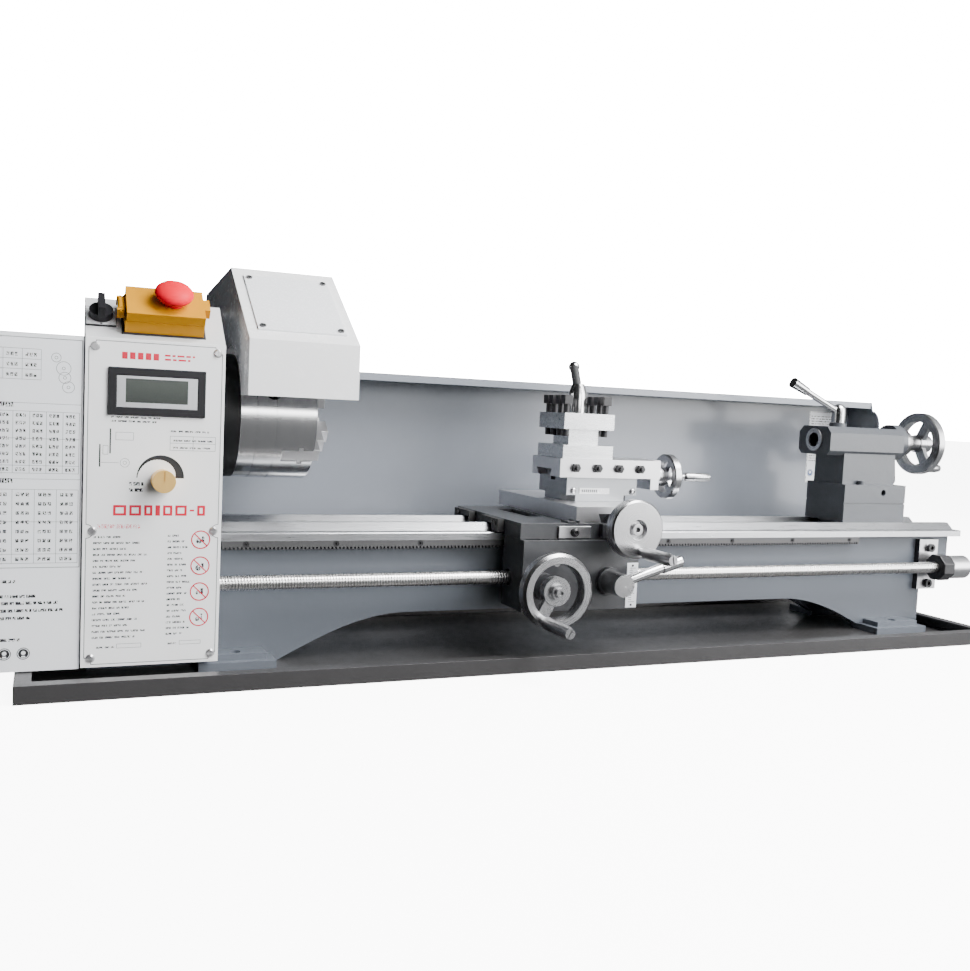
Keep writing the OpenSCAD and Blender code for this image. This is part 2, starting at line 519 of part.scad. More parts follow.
module saddle_wipers() color("#202020") for (x = [saddle_x0 - 8, saddle_x1]) difference() {
  union() {
    both_sides() block([x, x + 8], [18, 64], [way_z + 0.4, saddle_z1 - 0.5]);
    for (y = [-56, -50, 50, 56]) rod_x(x < 0 ? x - 1.5 : x + 8, x < 0 ? x : x + 9.5, 2.4, y, 142);
  }
  both_sides() block([x - 1, x + 9], [21, 47], [way_z - 1, way_z + vee_h + 0.4]);
}
module apron() color("#4a4d52") difference() {
  union() {
    block([saddle_x0, saddle_x1], [apron_y0, -64], [apron_z0, apron_z1]);
    rod_y(apron_y0 - 8, apron_y0, 14, wheel_x, wheel_z);
    rod_y(apron_y0 - 6, apron_y0, 15, 20, screw_z);
  }
  block([saddle_x0 + 6, saddle_x1 - 6], [apron_y0 + 6, -63], [apron_z0 + 5, apron_z1 + 1]);
  rod_x(saddle_x0 - 1, saddle_x1 + 1, 8.5, screw_y, screw_z);
  rod_y(apron_y0 - 9, -100, 6.05, wheel_x, wheel_z);
  rod_y(apron_y0 - 9, -100, 7.05, 20, screw_z);
  rod_y(apron_y0 - 1, -100, 5.05, pinion_x, pinion_z);
}
pair_y0 = -98; pair_y1 = -92;
module carriage_wheel() color("silver") {
  translate([wheel_x, -139, wheel_z]) rotate([90, 0, 0]) {
    rotate(150) wheel(carriage_wheel_d, 14, 15, 10, 1);
    cylinder(h = 15, r = 8);
    translate([0, 0, 15]) cap_screw(5, 4);
    rotate(-120) translate([carriage_wheel_d / 2 - 6, 0, 13]) grip(60, 6.5);
  }
  rod_y(-140, pair_y0, 6, wheel_x, wheel_z);
  translate([wheel_x, 0, wheel_z]) along_y(pair_y0, pair_y1) gear_flat(16, 1, meshed(90, 44, atan2(wheel_z - pinion_z, wheel_x - pinion_x), 16));
}
module pinion_shaft() color("gray") {
  rod_y(-114.5, -rail_out, 5, pinion_x, pinion_z);
  translate([pinion_x, 0, pinion_z]) {
    along_y(pair_y0, pair_y1) gear_flat(44, 1, 90);
    along_y(-rail_out + 0.5, -web_out - 0.6) gear_flat(pinion_teeth, rack_m, 90, 0.2);
  }
}
module half_nut_lever() color("silver") {
  rod_y(-150, apron_y0 - 6.2, 12, 20, screw_z);
  rod_y(apron_y0 - 7, -94, 7, 20, screw_z);
  rod_y(-103, -97, 16, 20, screw_z);
  translate([20, -136, screw_z]) rotate([0, 73, 0]) difference() { cylinder(h = 78, r = 5.4); translate([0, 0, 70]) cylinder(h = 9, r = 0.6); }
  translate([20, -136, screw_z]) rotate([0, 73, 0]) translate([0, 0, 56]) cylinder(h = 24, r = 6.5);
}
module half_nut(s) color("goldenrod") difference() {
  block([4, 36], [-88, -68], s > 0 ? [screw_z + 5, screw_z + 22] : [screw_z - 22, screw_z - 5]);
  rod_x(3, 37, screw_d / 2 + 0.3, screw_y, screw_z + 5 * s);
}
module half_nut_upper() half_nut(1);
module half_nut_lower() half_nut(-1);

module cross_slide() color("silver") {
  difference() {
    block([cross_x0, cross_x1], [cross_y0, cross_y1], [saddle_z1 + 0.1, cross_z1]);
    along_y(cross_y0 - 1, cross_y1 + 1) dove(dove_x, 16.2, 20.2, saddle_z1 - 0.1, dove_z + 0.2);
    rod_z(dove_z, cross_z1 + 1, 6.05, swivel[0], swivel[1]);
    block([-26, -17 + 4], [-106, -88], [saddle_z1 - 1, saddle_z1 + 3]);
  }
  difference() {
    block([22, 36], [-12, 12], [way_z + vee_h + 0.3, dove_z + 0.2]);
    rod_y(-13, 13, 5.05, cross_wheel_x, cross_wheel_z);
  }
}
module cross_wheel() color("silver") {
  translate([cross_wheel_x, -143, cross_wheel_z]) rotate([90, 0, 0]) {
    difference() {
      union() {
        cylinder(h = 11, r = cross_wheel_d / 2);
        translate([0, 0, 11]) cylinder(h = 2, r1 = cross_wheel_d / 2, r2 = cross_wheel_d / 2 - 2);
      }
      translate([0, 0, 7]) cylinder(h = 7, r = 10.5);
    }
    translate([0, 0, 6.5]) cap_screw(6, 6);
    rotate(-78) translate([cross_wheel_d / 2 - 7, 0, 12]) grip(61, 6.4);
  }
  rod_y(-144, 62, 5, cross_wheel_x, cross_wheel_z);
  rod_y(-143, -138.3, 14, cross_wheel_x, cross_wheel_z);
}

/* Compound slide and tool post */
top_wheel_y = -10; top_wheel_z = 193;
module compound_base() color("#8b8f94") difference() {
  union() {
    block([base_x0, base_x1], [base_y0, base_y1], [base_z0 + 7, base_z1]);
    intersection() {
      rod_z(base_z0, base_z0 + 8, 47, swivel[0] + 4, swivel[1]);
      block([base_x0, base_x1], [base_y0, base_y1], [base_z0, base_z1]);
    }
    along_x(base_x0, base_x1) dove(top_wheel_y, 15, 19, base_z1, base_z1 + 8);
    rod_z(dove_z + 1, base_z0 + 1, 6, swivel[0], swivel[1]);
  }
  for (x = [[base_x0 - 1, 44], [60, base_x1 + 1]]) block(x, [top_wheel_y - 5.5, top_wheel_y + 5.5], [187, base_z1 + 9]);
  rod_x(base_x0, base_x1, 4.05, top_wheel_y, top_wheel_z);
}
module top_slide() color("silver") {
  difference() {
    union() {
      block([top_x0, top_x1 - 10], [top_y0, top_y1], [top_z0, top_z1]);
      block([top_x1 - 11, top_x1], [-32, 12], [178, top_z1]);
    }
    along_x(top_x0 - 1, top_x1 - 11) dove(top_wheel_y, 15.2, 19.2, top_z0 - 0.2, base_z1 + 8.2);
    rod_x(top_x1 - 20, top_x1 + 1, 4.05, top_wheel_y, top_wheel_z);
    for (i = [0:3]) rod_y(top_y0 - 1, top_y0 + 8, 2.5, gib_x[i], 203);
  }
  rod_z(top_z1, 277, 8, post_c[0], post_c[1]);
}
gib_x = [8, 36, 64, 92];
module gib_screws() color("#303030") for (x = gib_x) translate([x, top_y0, 203]) rotate([90, 0, 0]) {
  translate([0, 0, 0.05]) cylinder(h = 4.5, r = 5.2, $fn = 6);
  translate([0, 0, -7]) cylinder(h = 15, r = 2.4);
}
module compound_wheel() color("silver") {
  translate([150, top_wheel_y, top_wheel_z]) rotate([0, 90, 0]) {
    wheel(top_wheel_d, 12, 9, 16, 3);
    rotate(-93) translate([top_wheel_d / 2 - 5.5, 0, 9]) grip(42, 5.2);
  }
  rod_x(20, 151, 4, top_wheel_y, top_wheel_z);
  difference() { rod_x(top_x1 + 0.3, 150, 12, top_wheel_y, top_wheel_z); rod_x(144, 146, 13, top_wheel_y, top_wheel_z); }
  rod_x(143, 147, 11, top_wheel_y, top_wheel_z);
}
bolt_at = [for (s = [-1, 1], t = [-1, 1]) each [[s * 25, t * 22], [s * 25, t * 8]]];
module tool_post() color("silver") translate([post_c[0], post_c[1], 0]) difference() {
  union() {
    block([-post_w / 2, post_w / 2], [-post_w / 2, post_w / 2], [post_z0, 228]);
    block([-19, 19], [-19, 19], [227, 247]);
    block([-post_w / 2, post_w / 2], [-post_w / 2, post_w / 2], [246, post_z1]);
  }
  rod_z(post_z0 - 1, post_z1 + 1, 8.05);
  for (p = bolt_at) rod_z(245, post_z1 + 1, 3.5, p[0], p[1]);
}
module tool_bolts() color("#202020") translate([post_c[0], post_c[1], 0]) for (p = bolt_at) {
  rod_z(238, 274, 3.5, p[0], p[1]);
  block([p[0] - 5, p[0] + 5], [p[1] - 5, p[1] + 5], [274, 284]);
}
module tool_post_lever() color("silver") translate([post_c[0], post_c[1], 0]) {
  difference() {
    union() {
      rod_z(post_z1 + 0.1, 286, 11);
      translate([0, 0, 286]) cylinder(h = 12, r1 = 11, r2 = 7);
      translate([0, 0, 290]) rotate([0, 0, -20]) rotate([-56, 0, 0]) cylinder(h = 52, r = 5.2);
    }
    rod_z(post_z1, 277.5, 8.05);
  }
  translate([0, 0, 290]) rotate([0, 0, -20]) rotate([-56, 0, 0]) translate([0, 0, 52]) sphere(r = 6.6);
}

/* Tailstock */
module tailstock() color("slategray") {
  difference() {
    union() {
      block([tail_x0, tail_x1], [-tail_y, tail_y], [way_z + vee_h + 0.1, 189]);
      block([tail_x0 + 10, tail_x1 - 10], [-21, 21], [126, way_z + vee_h + 1]);
      along_y(-27, 27) polygon([[413, 188], [499, 188], [503, 194], [499, 230], [413, 230]]);
      along_x(barrel_x0, barrel_x1) polygon([[-24, 226], [24, 226], [30, 232], [30, 255], [22, 263], [-22, 263], [-30, 255], [-30, 232]]);
      rod_x(barrel_x1, 524, 24, 0, axis_z);
      rod_z(262, 268, 11, 423, 0);
    }
    for (s = [-1, 1]) block([tail_x0 - 1, tail_x1 + 1], s < 0 ? [-tail_y - 1, -tail_y + 1.2] : [tail_y - 1.2, tail_y + 1], [164, 165.5]);
    rod_x(barrel_x0 - 1, barrel_x1 - 4, quill_r + run, 0, axis_z);
    rod_x(barrel_x1 - 5, 525, 6.05, 0, axis_z);
    rod_z(axis_z, 269, 5.05, 423, 0);
    rod_y(-tail_y - 1, -tail_y + 6, 4, 475, 179);
  }
  block([428, 492], [-33, 33], [112, 120]);
  rod_z(119, 127, 7, 460, 0);
  translate([440, -31.2, 189]) cap_screw(4.2, 5);
}
module quill() color("silver") difference() {
  rod_x(384, 505, quill_r, 0, axis_z);
  translate([383, 0, axis_z]) rotate([0, 90, 0]) cylinder(h = 62, r1 = 9, r2 = 7.45);
  rod_x(440, 506, 6.5, 0, axis_z);
}
module tail_wheel() color("silver") {
  translate([560, 0, axis_z]) rotate([0, 90, 0]) {
    wheel(tail_wheel_d, 14, 12, 20, 3);
    rotate(20) translate([tail_wheel_d / 2 - 6, 0, 12]) grip(48, 6);
  }
  rod_x(446, 561, 6, 0, axis_z);
  rod_x(524.3, 540, 17, 0, axis_z);
  rod_x(539, 560.5, 11, 0, axis_z);
}
module quill_lock_lever() color("silver") {
  rod_z(axis_z + quill_r + 0.4, 276, 5, 423, 0);
  rod_z(268.3, 284, 9, 423, 0);
  translate([423, 0, 284]) sphere(r = 9);
  translate([423, 0, 282]) rotate([0, -66, 0]) { cylinder(h = 72, r = 4.2); translate([0, 0, 60]) cylinder(h = 26, r1 = 5.5, r2 = 7); }
}

chip_tray();
backsplash();
bed();
rack();
rack_screws();
leadscrew_bracket_right();
leadscrew_bracket_left();
headstock();
control_box();
panel_plate();
panel_screws();
display();
speed_board();
estop_base();
spindle_bearings();
motor();
guard_bracket();
gear_banjo();
drive_belt();
spindle();
spindle_pulley();
spindle_gear();
chuck_backplate();
chuck_body();
chuck_scroll();
chuck_jaw_1();
chuck_jaw_2();
chuck_jaw_3();
guard_hood();
guard_window();
gear_cover();
estop_cover();
estop_button();
selector_knob();
speed_knob();
leadscrew();
idler_gear_a();
idler_gear_b();
motor_rotor();
saddle();
saddle_wipers();
apron();
carriage_wheel();
pinion_shaft();
half_nut_lever();
half_nut_upper();
half_nut_lower();
cross_slide();
cross_wheel();
compound_base();
top_slide();
gib_screws();
compound_wheel();
tool_post();
tool_bolts();
tool_post_lever();
tailstock();
quill();
tail_wheel();
quill_lock_lever();
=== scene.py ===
import bpy, bmesh, math, json
from mathutils import Vector, Matrix


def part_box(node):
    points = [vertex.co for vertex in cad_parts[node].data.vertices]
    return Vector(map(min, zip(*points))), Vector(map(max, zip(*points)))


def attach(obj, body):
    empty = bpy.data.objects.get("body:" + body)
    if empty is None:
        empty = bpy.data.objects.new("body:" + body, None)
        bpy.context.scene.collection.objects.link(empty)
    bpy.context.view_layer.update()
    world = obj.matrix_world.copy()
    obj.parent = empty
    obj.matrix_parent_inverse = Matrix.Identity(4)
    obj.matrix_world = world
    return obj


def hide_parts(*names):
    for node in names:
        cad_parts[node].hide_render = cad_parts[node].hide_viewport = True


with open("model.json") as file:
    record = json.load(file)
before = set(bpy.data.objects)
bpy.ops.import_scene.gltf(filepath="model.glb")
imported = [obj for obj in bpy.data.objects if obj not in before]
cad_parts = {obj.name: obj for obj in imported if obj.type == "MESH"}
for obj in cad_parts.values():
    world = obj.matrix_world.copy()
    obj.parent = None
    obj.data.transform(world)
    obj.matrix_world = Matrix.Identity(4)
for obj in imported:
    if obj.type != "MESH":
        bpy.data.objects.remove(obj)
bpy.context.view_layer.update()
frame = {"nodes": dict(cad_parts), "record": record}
nodes = frame["nodes"]
bodyOf = {n: b for b, members in frame["record"]["behaviour"]["bodies"].items() for n in members}
slotOf = {p["node"]: p["material_slot"] for p in frame["record"]["subparts"]}
print("frame loaded:", len(nodes), "nodes")


# camera and light

cameraSpot = {"place": (-0.5366, -1.0643, 0.2610), "yaw": 0.407, "pitch": 0.076, "roll": -0.047,
              "lens": 37.98, "shift": (-0.0013, 0.0044)}

def placeCamera(spot):
    yaw, pitch, roll = spot["yaw"], spot["pitch"], spot["roll"]
    ahead = Vector((math.sin(yaw) * math.cos(pitch), math.cos(yaw) * math.cos(pitch), -math.sin(pitch)))
    side = Vector((math.cos(yaw), -math.sin(yaw), 0))
    down = ahead.cross(side)
    right = math.cos(roll) * side + math.sin(roll) * down
    up = -(math.cos(roll) * down - math.sin(roll) * side)
    data = bpy.data.cameras.new("mainCamera")
    data.lens, data.sensor_width = spot["lens"], 36
    data.shift_x, data.shift_y = spot["shift"]
    camera = bpy.data.objects.new("mainCamera", data)
    turn = Matrix((right, up, -ahead)).transposed().to_4x4()
    camera.matrix_world = Matrix.Translation(spot["place"]) @ turn
    bpy.context.scene.collection.objects.link(camera)
    bpy.context.scene.camera = camera

placeCamera(cameraSpot)

studio = {"softboxes": [("keyBox", (1.9, -1.9, 0.85), (0.05, 0, 0.35), (1.7, 1.8), 100),
                        ("topBox", (0.75, -0.85, 1.8), (-0.1, 0, 0.15), (1.2, 1.2), 120),
                        ("frontFill", (0.35, -3.0, 1.1), (-0.4, 0, 0.2), (1.0, 1.0), 34)],
          "world": (0.02, 0.52), "worldSpan": (-0.35, 0.9), "roomColour": (0.95, 0.97, 1, 1),
          "backdrop": 30, "floor": (0.96, 0.96, 0.96), "floorGlow": 8}

def lightStudio(kit):
    for name, place, aim, size, power in kit["softboxes"]:
        data = bpy.data.lights.new(name, "AREA")
        data.shape, data.size, data.size_y, data.energy = "RECTANGLE", size[0], size[1], power
        box = bpy.data.objects.new(name, data)
        box.location = place
        box.rotation_euler = (Vector(aim) - Vector(place)).to_track_quat("-Z", "Y").to_euler()
        bpy.context.scene.collection.objects.link(box)
    world = bpy.data.worlds.new("paleRoom")
    bpy.context.scene.world = world
    world.use_nodes = True
    tree = world.node_tree
    room, seen = tree.nodes["Background"], tree.nodes.new("ShaderNodeBackground")
    room.inputs["Color"].default_value = kit["roomColour"]
    # the room is darker to the left, brighter to the right of the operator
    coords, split = tree.nodes.new("ShaderNodeTexCoord"), tree.nodes.new("ShaderNodeSeparateXYZ")
    fade = tree.nodes.new("ShaderNodeMapRange")
    fade.inputs["From Min"].default_value, fade.inputs["From Max"].default_value = kit["worldSpan"]
    fade.inputs["To Min"].default_value, fade.inputs["To Max"].default_value = kit["world"]
    tree.links.new(coords.outputs["Generated"], split.inputs[0])
    tree.links.new(split.outputs["X"], fade.inputs["Value"])
    tree.links.new(fade.outputs[0], room.inputs["Strength"])
    seen.inputs["Color"].default_value = (1, 1, 1, 1)
    seen.inputs["Strength"].default_value = kit["backdrop"]
    path, mix = tree.nodes.new("ShaderNodeLightPath"), tree.nodes.new("ShaderNodeMixShader")
    tree.links.new(path.outputs["Is Camera Ray"], mix.inputs[0])
    tree.links.new(room.outputs[0], mix.inputs[1])
    tree.links.new(seen.outputs[0], mix.inputs[2])
    tree.links.new(mix.outputs[0], tree.nodes["World Output"].inputs["Surface"])

lightStudio(studio)
print("camera and lights placed")


# shader maths

class Value:
    # one number in a shader, so that sums on it add Math nodes
    def __init__(self, tree, socket):
        self.tree, self.socket = tree, socket

    def join(self, other, operation, swapped=False):
        node = self.tree.nodes.new("ShaderNodeMath")
        node.operation = operation
        for slot, part in zip(node.inputs, (other, self) if swapped else (self, other)):
            if isinstance(part, Value):
                self.tree.links.new(part.socket, slot)
            else:
                slot.default_value = part
        return Value(self.tree, node.outputs[0])

    def __add__(self, other): return self.join(other, "ADD")
    def __radd__(self, other): return self.join(other, "ADD", True)
    def __sub__(self, other): return self.join(other, "SUBTRACT")
    def __rsub__(self, other): return self.join(other, "SUBTRACT", True)
    def __mul__(self, other): return self.join(other, "MULTIPLY")
    def __rmul__(self, other): return self.join(other, "MULTIPLY", True)
    def __gt__(self, other): return self.join(other, "GREATER_THAN")
    def __lt__(self, other): return self.join(other, "LESS_THAN")


class Finish:
    # a material under construction; fixed holds the shader settings that never vary
    def __init__(self, name, fixed):
        self.material = bpy.data.materials.new(name)
        self.material.use_nodes = True
        self.tree = self.material.node_tree
        self.shader = self.tree.nodes["Principled BSDF"]
        for key, value in fixed.items():
            self.shader.inputs[key].default_value = value
        self.coords = self.node("ShaderNodeTexCoord", {}, {}).outputs["Object"]

    def node(self, kind, settings, sockets):
        made = self.tree.nodes.new(kind)
        for key, value in settings.items():
            setattr(made, key, value)
        for key, value in sockets.items():
            self.feed(made.inputs[key], value)
        return made

    def feed(self, socket, value):
        if isinstance(value, Value):
            value = value.socket
        if isinstance(value, bpy.types.NodeSocket):
            self.tree.links.new(value, socket)
        else:
            socket.default_value = value

    def value(self, socket):
        return Value(self.tree, socket)

    def place(self, scale=(1, 1, 1), move=(0, 0, 0)):
        made = self.node("ShaderNodeMapping", {}, {"Vector": self.coords, "Scale": scale, "Location": move})
        return made.outputs[0]

    def axes(self, vector=None):
        split = self.node("ShaderNodeSeparateXYZ", {}, {"Vector": vector or self.coords})
        return [self.value(out) for out in split.outputs]

    def noise(self, scale, detail=3, rough=0.5, vector=None):
        made = self.node("ShaderNodeTexNoise", {}, {"Vector": vector or self.coords, "Scale": scale,
                                                    "Detail": detail, "Roughness": rough})
        return self.value(made.outputs["Fac"])

    def mixed(self, factor, first, second):
        made = self.node("ShaderNodeMix", {"data_type": "RGBA"}, {0: factor})
        self.feed(made.inputs[6], first)
        self.feed(made.inputs[7], second)
        return made.outputs[2]

    def spread(self, value, low, high):
        # maps low..high onto 0..1, clamped
        made = self.node("ShaderNodeMapRange", {}, {"Value": value, "From Min": low, "From Max": high})
        return self.value(made.outputs[0])

    def bump(self, height, strength, distance, normal=None):
        made = self.node("ShaderNodeBump", {}, {"Height": height, "Strength": strength, "Distance": distance})
        if normal:
            self.feed(made.inputs["Normal"], normal)
        return made.outputs[0]

    def wear(self, colour=None, rough=None, normal=None, metal=None):
        for key, value in (("Base Color", colour), ("Roughness", rough), ("Normal", normal), ("Metallic", metal)):
            if value is not None:
                self.feed(self.shader.inputs[key], value)
        return self.material


def shade(colour, by):
    # the same colour, lighter or darker
    return tuple(min(1, c * by) for c in colour[:3]) + (1,)


# finishes, one maker for each kind of surface

def paint(name, colour, rough=0.35, peel=420, depth=0.35, coat=0.2, stain=0.12):
    f = Finish(name, {"Coat Weight": coat, "Coat Roughness": 0.12})
    cloud = f.noise(7, 4)
    grain = f.noise(peel, 2)
    dust = f.spread(f.noise(60, 6, 0.7), 0.45, 0.75)
    return f.wear(f.mixed(cloud * 0.8 + dust * stain, shade(colour, 0.93), shade(colour, 1.1)),
                  rough + (grain - 0.5) * 0.1 + dust * 0.08, f.bump(grain, depth, 0.0003))

def casting(name, colour, rough=0.42):
    f = Finish(name, {"Coat Weight": 0.15, "Coat Roughness": 0.2})
    lumps, grain, cloud = f.noise(90, 3), f.noise(600, 3), f.noise(5, 4)
    fill = f.bump(lumps, 0.25, 0.0012)
    return f.wear(f.mixed(cloud * 0.9 + grain * 0.2, shade(colour, 0.86), shade(colour, 1.14)),
                  rough + grain * 0.12 - lumps * 0.06, f.bump(grain, 0.3, 0.00025, fill))

def ground(name, colour, along=(40, 900, 900), rough=0.28):
    # straight grinding marks; the grain runs along the smallest scale
    f = Finish(name, {"Metallic": 1.0})
    marks = f.noise(1, 4, 0.6, f.place(along))
    cloud, spots = f.noise(9, 4), f.spread(f.noise(130, 4, 0.65), 0.58, 0.8)
    return f.wear(f.mixed(marks * 0.5 + cloud * 0.5, shade(colour, 0.84), shade(colour, 1.12)),
                  rough + marks * 0.16 + spots * 0.14, f.bump(marks, 0.22, 0.00012))

def turned(name, colour, centre, axis="x", rough=0.2, pitch=1500):
    # rings left by a turning tool around one axis
    f = Finish(name, {"Metallic": 1.0})
    x, y, z = f.axes(f.place((1, 1, 1), tuple(-c for c in centre)))
    first, second = {"x": (y, z), "y": (x, z), "z": (x, y)}[axis]
    far = (first * first + second * second).join(0.5, "POWER")
    along = {"x": x, "y": y, "z": z}[axis]
    tracks = f.node("ShaderNodeCombineXYZ", {}, {"X": far * pitch, "Y": along * pitch, "Z": 0.0}).outputs[0]
    rings, cloud = f.noise(1, 3, 0.6, tracks), f.noise(14, 4)
    return f.wear(f.mixed(rings * 0.5 + cloud * 0.5, shade(colour, 0.88), shade(colour, 1.1)),
                  rough + rings * 0.1 + cloud * 0.05, f.bump(rings, 0.07, 0.00006))

def moulded(name, colour, rough=0.4, grain=900, gloss=0.5):
    f = Finish(name, {"Specular IOR Level": gloss})
    fine, cloud = f.noise(grain, 2), f.noise(20, 4)
    return f.wear(f.mixed(cloud, shade(colour, 0.9), shade(colour, 1.1)),
                  rough + (fine - 0.5) * 0.14 + (cloud - 0.5) * 0.08, f.bump(fine, 0.22, 0.0002))

axisZ = 0.245  # height of the spindle's axis
finishes = {
    "tray_paint": paint("trayPaint", (0.040, 0.039, 0.040), 0.34),
    "splash_paint": paint("splashPaint", (0.195, 0.212, 0.245), 0.36, 300, 0.12, 0.35),
    "cut_steel": ground("rackSteel", (0.11, 0.11, 0.112), (700, 60, 700), 0.4),
    "black_oxide": moulded("blackOxide", (0.022, 0.022, 0.024), 0.38),
    "grey_casting": casting("bracketPaint", (0.26, 0.27, 0.29), 0.4),
    "head_casting": casting("headstockPaint", (0.115, 0.130, 0.153), 0.38),
    "light_paint": paint("boxPaint", (0.62, 0.63, 0.64), 0.36),
    "bright_screw": ground("screwPlating", (0.62, 0.62, 0.63), (700, 700, 700), 0.22),
    "black_plastic": moulded("blackPlastic", (0.010, 0.010, 0.012), 0.44, 900, 0.3),
    "circuit_board": moulded("boardMask", (0.02, 0.12, 0.05), 0.3),
    "yellow_plastic": moulded("yellowPlastic", (0.56, 0.245, 0.002), 0.38, 700, 0.25),
    "bearing_steel": turned("bearingSteel", (0.6, 0.6, 0.6), (0, 0, axisZ)),
    "motor_black": paint("motorPaint", (0.035, 0.037, 0.04), 0.4),
    "belt_rubber": moulded("beltRubber", (0.015, 0.015, 0.015), 0.7),
    "pulley_metal": turned("pulleyMetal", (0.66, 0.67, 0.68), (0, 0, axisZ), "x", 0.28),
    "gear_steel": ground("gearSteel", (0.34, 0.34, 0.35), (500, 500, 500), 0.34),
    "chuck_steel": turned("chuckSteel", (0.66, 0.66, 0.665), (0, 0, axisZ), "x", 0.13, 500),
    "jaw_steel": ground("jawSteel", (0.40, 0.40, 0.41), (300, 900, 900), 0.26),
    "white_paint": paint("hoodPaint", (0.93, 0.94, 0.955), 0.24, 380, 0.2, 0.5, 0.05),
    "red_plastic": moulded("redPlastic", (0.78, 0.001, 0.022), 0.46, 500, 0.14),
    "brass_knob": turned("knobBrass", (0.94, 0.60, 0.20), (-0.441, 0, 0.186), "y", 0.34),
    "screw_steel": turned("screwSteel", (0.60, 0.59, 0.58), (0, -0.078, 0.086), "x", 0.2),
    "carriage_casting": casting("carriagePaint", (0.036, 0.038, 0.042), 0.36),
    "wiper_rubber": moulded("wiperRubber", (0.02, 0.02, 0.02), 0.6),
    "wheel_chrome": ground("wheelChrome", (0.66, 0.66, 0.665), (500, 500, 500), 0.13),
    "nut_bronze": ground("nutBronze", (0.60, 0.40, 0.18), (400, 400, 400), 0.34),
    "ground_steel": ground("slideSteel", (0.62, 0.62, 0.635), (45, 1100, 1100), 0.24),
    "ground_grey": ground("swivelIron", (0.34, 0.35, 0.365), (60, 900, 900), 0.34),
    "post_steel": ground("postSteel", (0.56, 0.57, 0.58), (60, 1100, 1100), 0.2),
    "tail_casting": casting("tailstockPaint", (0.070, 0.076, 0.086), 0.34),
    "quill_steel": turned("quillSteel", (0.5, 0.5, 0.51), (0, 0, axisZ), "x", 0.2),
    "panel_print": paint("panelPlate", (0.90, 0.905, 0.91), 0.3, 700, 0.1, 0.3, 0.04),
    "cover_print": paint("coverPaint", (0.86, 0.88, 0.91), 0.32, 420, 0.2, 0.3, 0.05),
}

flangeMetal = {"black": (0.007, 0.007, 0.008), "steel": (0.42, 0.42, 0.43), "from": -0.3865, "to": -0.3645}

def spindleFinish(kit):
    # bright shaft with a blackened nose flange
    f = Finish("spindleAndFlange", {"Specular IOR Level": 0.25})
    x, y, z = f.axes()
    black = (x > kit["from"]) * (x < kit["to"])
    rings, cloud = f.noise(1, 3, 0.6, f.place((1500, 4, 4))), f.noise(40, 4)
    bare = f.mixed(rings, shade(kit["steel"], 0.8), shade(kit["steel"], 1.15))
    return f.wear(f.mixed(black, bare, f.mixed(cloud, shade(kit["black"], 0.7), shade(kit["black"], 1.4))),
                  0.24 + rings * 0.1 + black * 0.14 + cloud * 0.06, f.bump(rings, 0.15, 0.0001), 1 - black)

finishes["turned_steel"] = spindleFinish(flangeMetal)

bracketMetal = {"black": (0.016, 0.016, 0.018), "steel": (0.60, 0.60, 0.61),
                "face": -0.058, "skin": 0.0003, "cap": 0.5489}

def bracketFinish(kit):
    # black casting with machined front pads and a bright cap over the screw's end
    f = Finish("blackBracketMachinedFace", {})
    x, y, z = f.axes()
    bare = (y < kit["face"] + kit["skin"]) * (y > kit["face"] - kit["skin"])
    bright = bare + (y < kit["face"] - kit["skin"]) * (x > kit["cap"])
    grain, cloud = f.noise(1, 3, 0.6, f.place((900, 60, 900))), f.noise(60, 4)
    metal = f.mixed(grain, shade(kit["steel"], 0.85), shade(kit["steel"], 1.1))
    return f.wear(f.mixed(bright, f.mixed(cloud, shade(kit["black"], 0.7), shade(kit["black"], 1.4)), metal),
                  0.28 + grain * 0.1 + (1 - bright) * 0.12, f.bump(grain, 0.15, 0.0001), bright)

windowMetal = {"paint": (0.86, 0.875, 0.90), "steel": (0.20, 0.20, 0.205),
               "foot": (-0.108, 0.318), "tilt": math.atan2(77, 118), "plate": 0.0017}

def windowFinish(kit):
    # painted plate whose four screws, standing above its face, are left bare
    f = Finish("windowPlateAndScrews", {"Coat Weight": 0.5, "Coat Roughness": 0.12})
    x, y, z = f.axes()
    height = (z - kit["foot"][1]) * math.cos(kit["tilt"]) - (y - kit["foot"][0]) * math.sin(kit["tilt"])
    bare = height > kit["plate"]
    grain, cloud = f.noise(500, 2), f.noise(7, 4)
    painted = f.mixed(cloud, shade(kit["paint"], 0.95), shade(kit["paint"], 1.04))
    return f.wear(f.mixed(bare, painted, f.mixed(grain, shade(kit["steel"], 0.5), shade(kit["steel"], 1.5))),
                  0.24 + grain * 0.06 + bare * 0.06, f.bump(grain, 0.12, 0.0002), bare)

finishes["window_plate"] = windowFinish(windowMetal)

wayMetal = {"paint": (0.100, 0.113, 0.134), "steel": (0.55, 0.56, 0.58), "steelAbove": 0.1242, "blend": 0.0003}

def bedFinish(kit):
    # painted casting below, ground ways above
    f = Finish("bedPaintAndWays", {"Coat Weight": 0.1})
    x, y, z = f.axes()
    way = f.spread(z, kit["steelAbove"] - kit["blend"], kit["steelAbove"] + kit["blend"])
    grain, cloud, marks = f.noise(600, 3), f.noise(5, 4), f.noise(1, 4, 0.6, f.place((30, 1200, 1200)))
    painted = f.mixed(cloud * 0.9 + grain * 0.2, shade(kit["paint"], 0.86), shade(kit["paint"], 1.14))
    bare = f.mixed(marks, shade(kit["steel"], 0.82), shade(kit["steel"], 1.12))
    return f.wear(f.mixed(way, painted, bare),
                  (0.4 + grain * 0.12) * (1 - way) + (0.2 + marks * 0.2) * way,
                  f.bump(grain * (1 - way) + marks * way * 0.5, 0.25, 0.0002), way)

finishes["bed_casting"] = bedFinish(wayMetal)
print("finishes made:", len(finishes))


# copies of the CAD solids with softened edges

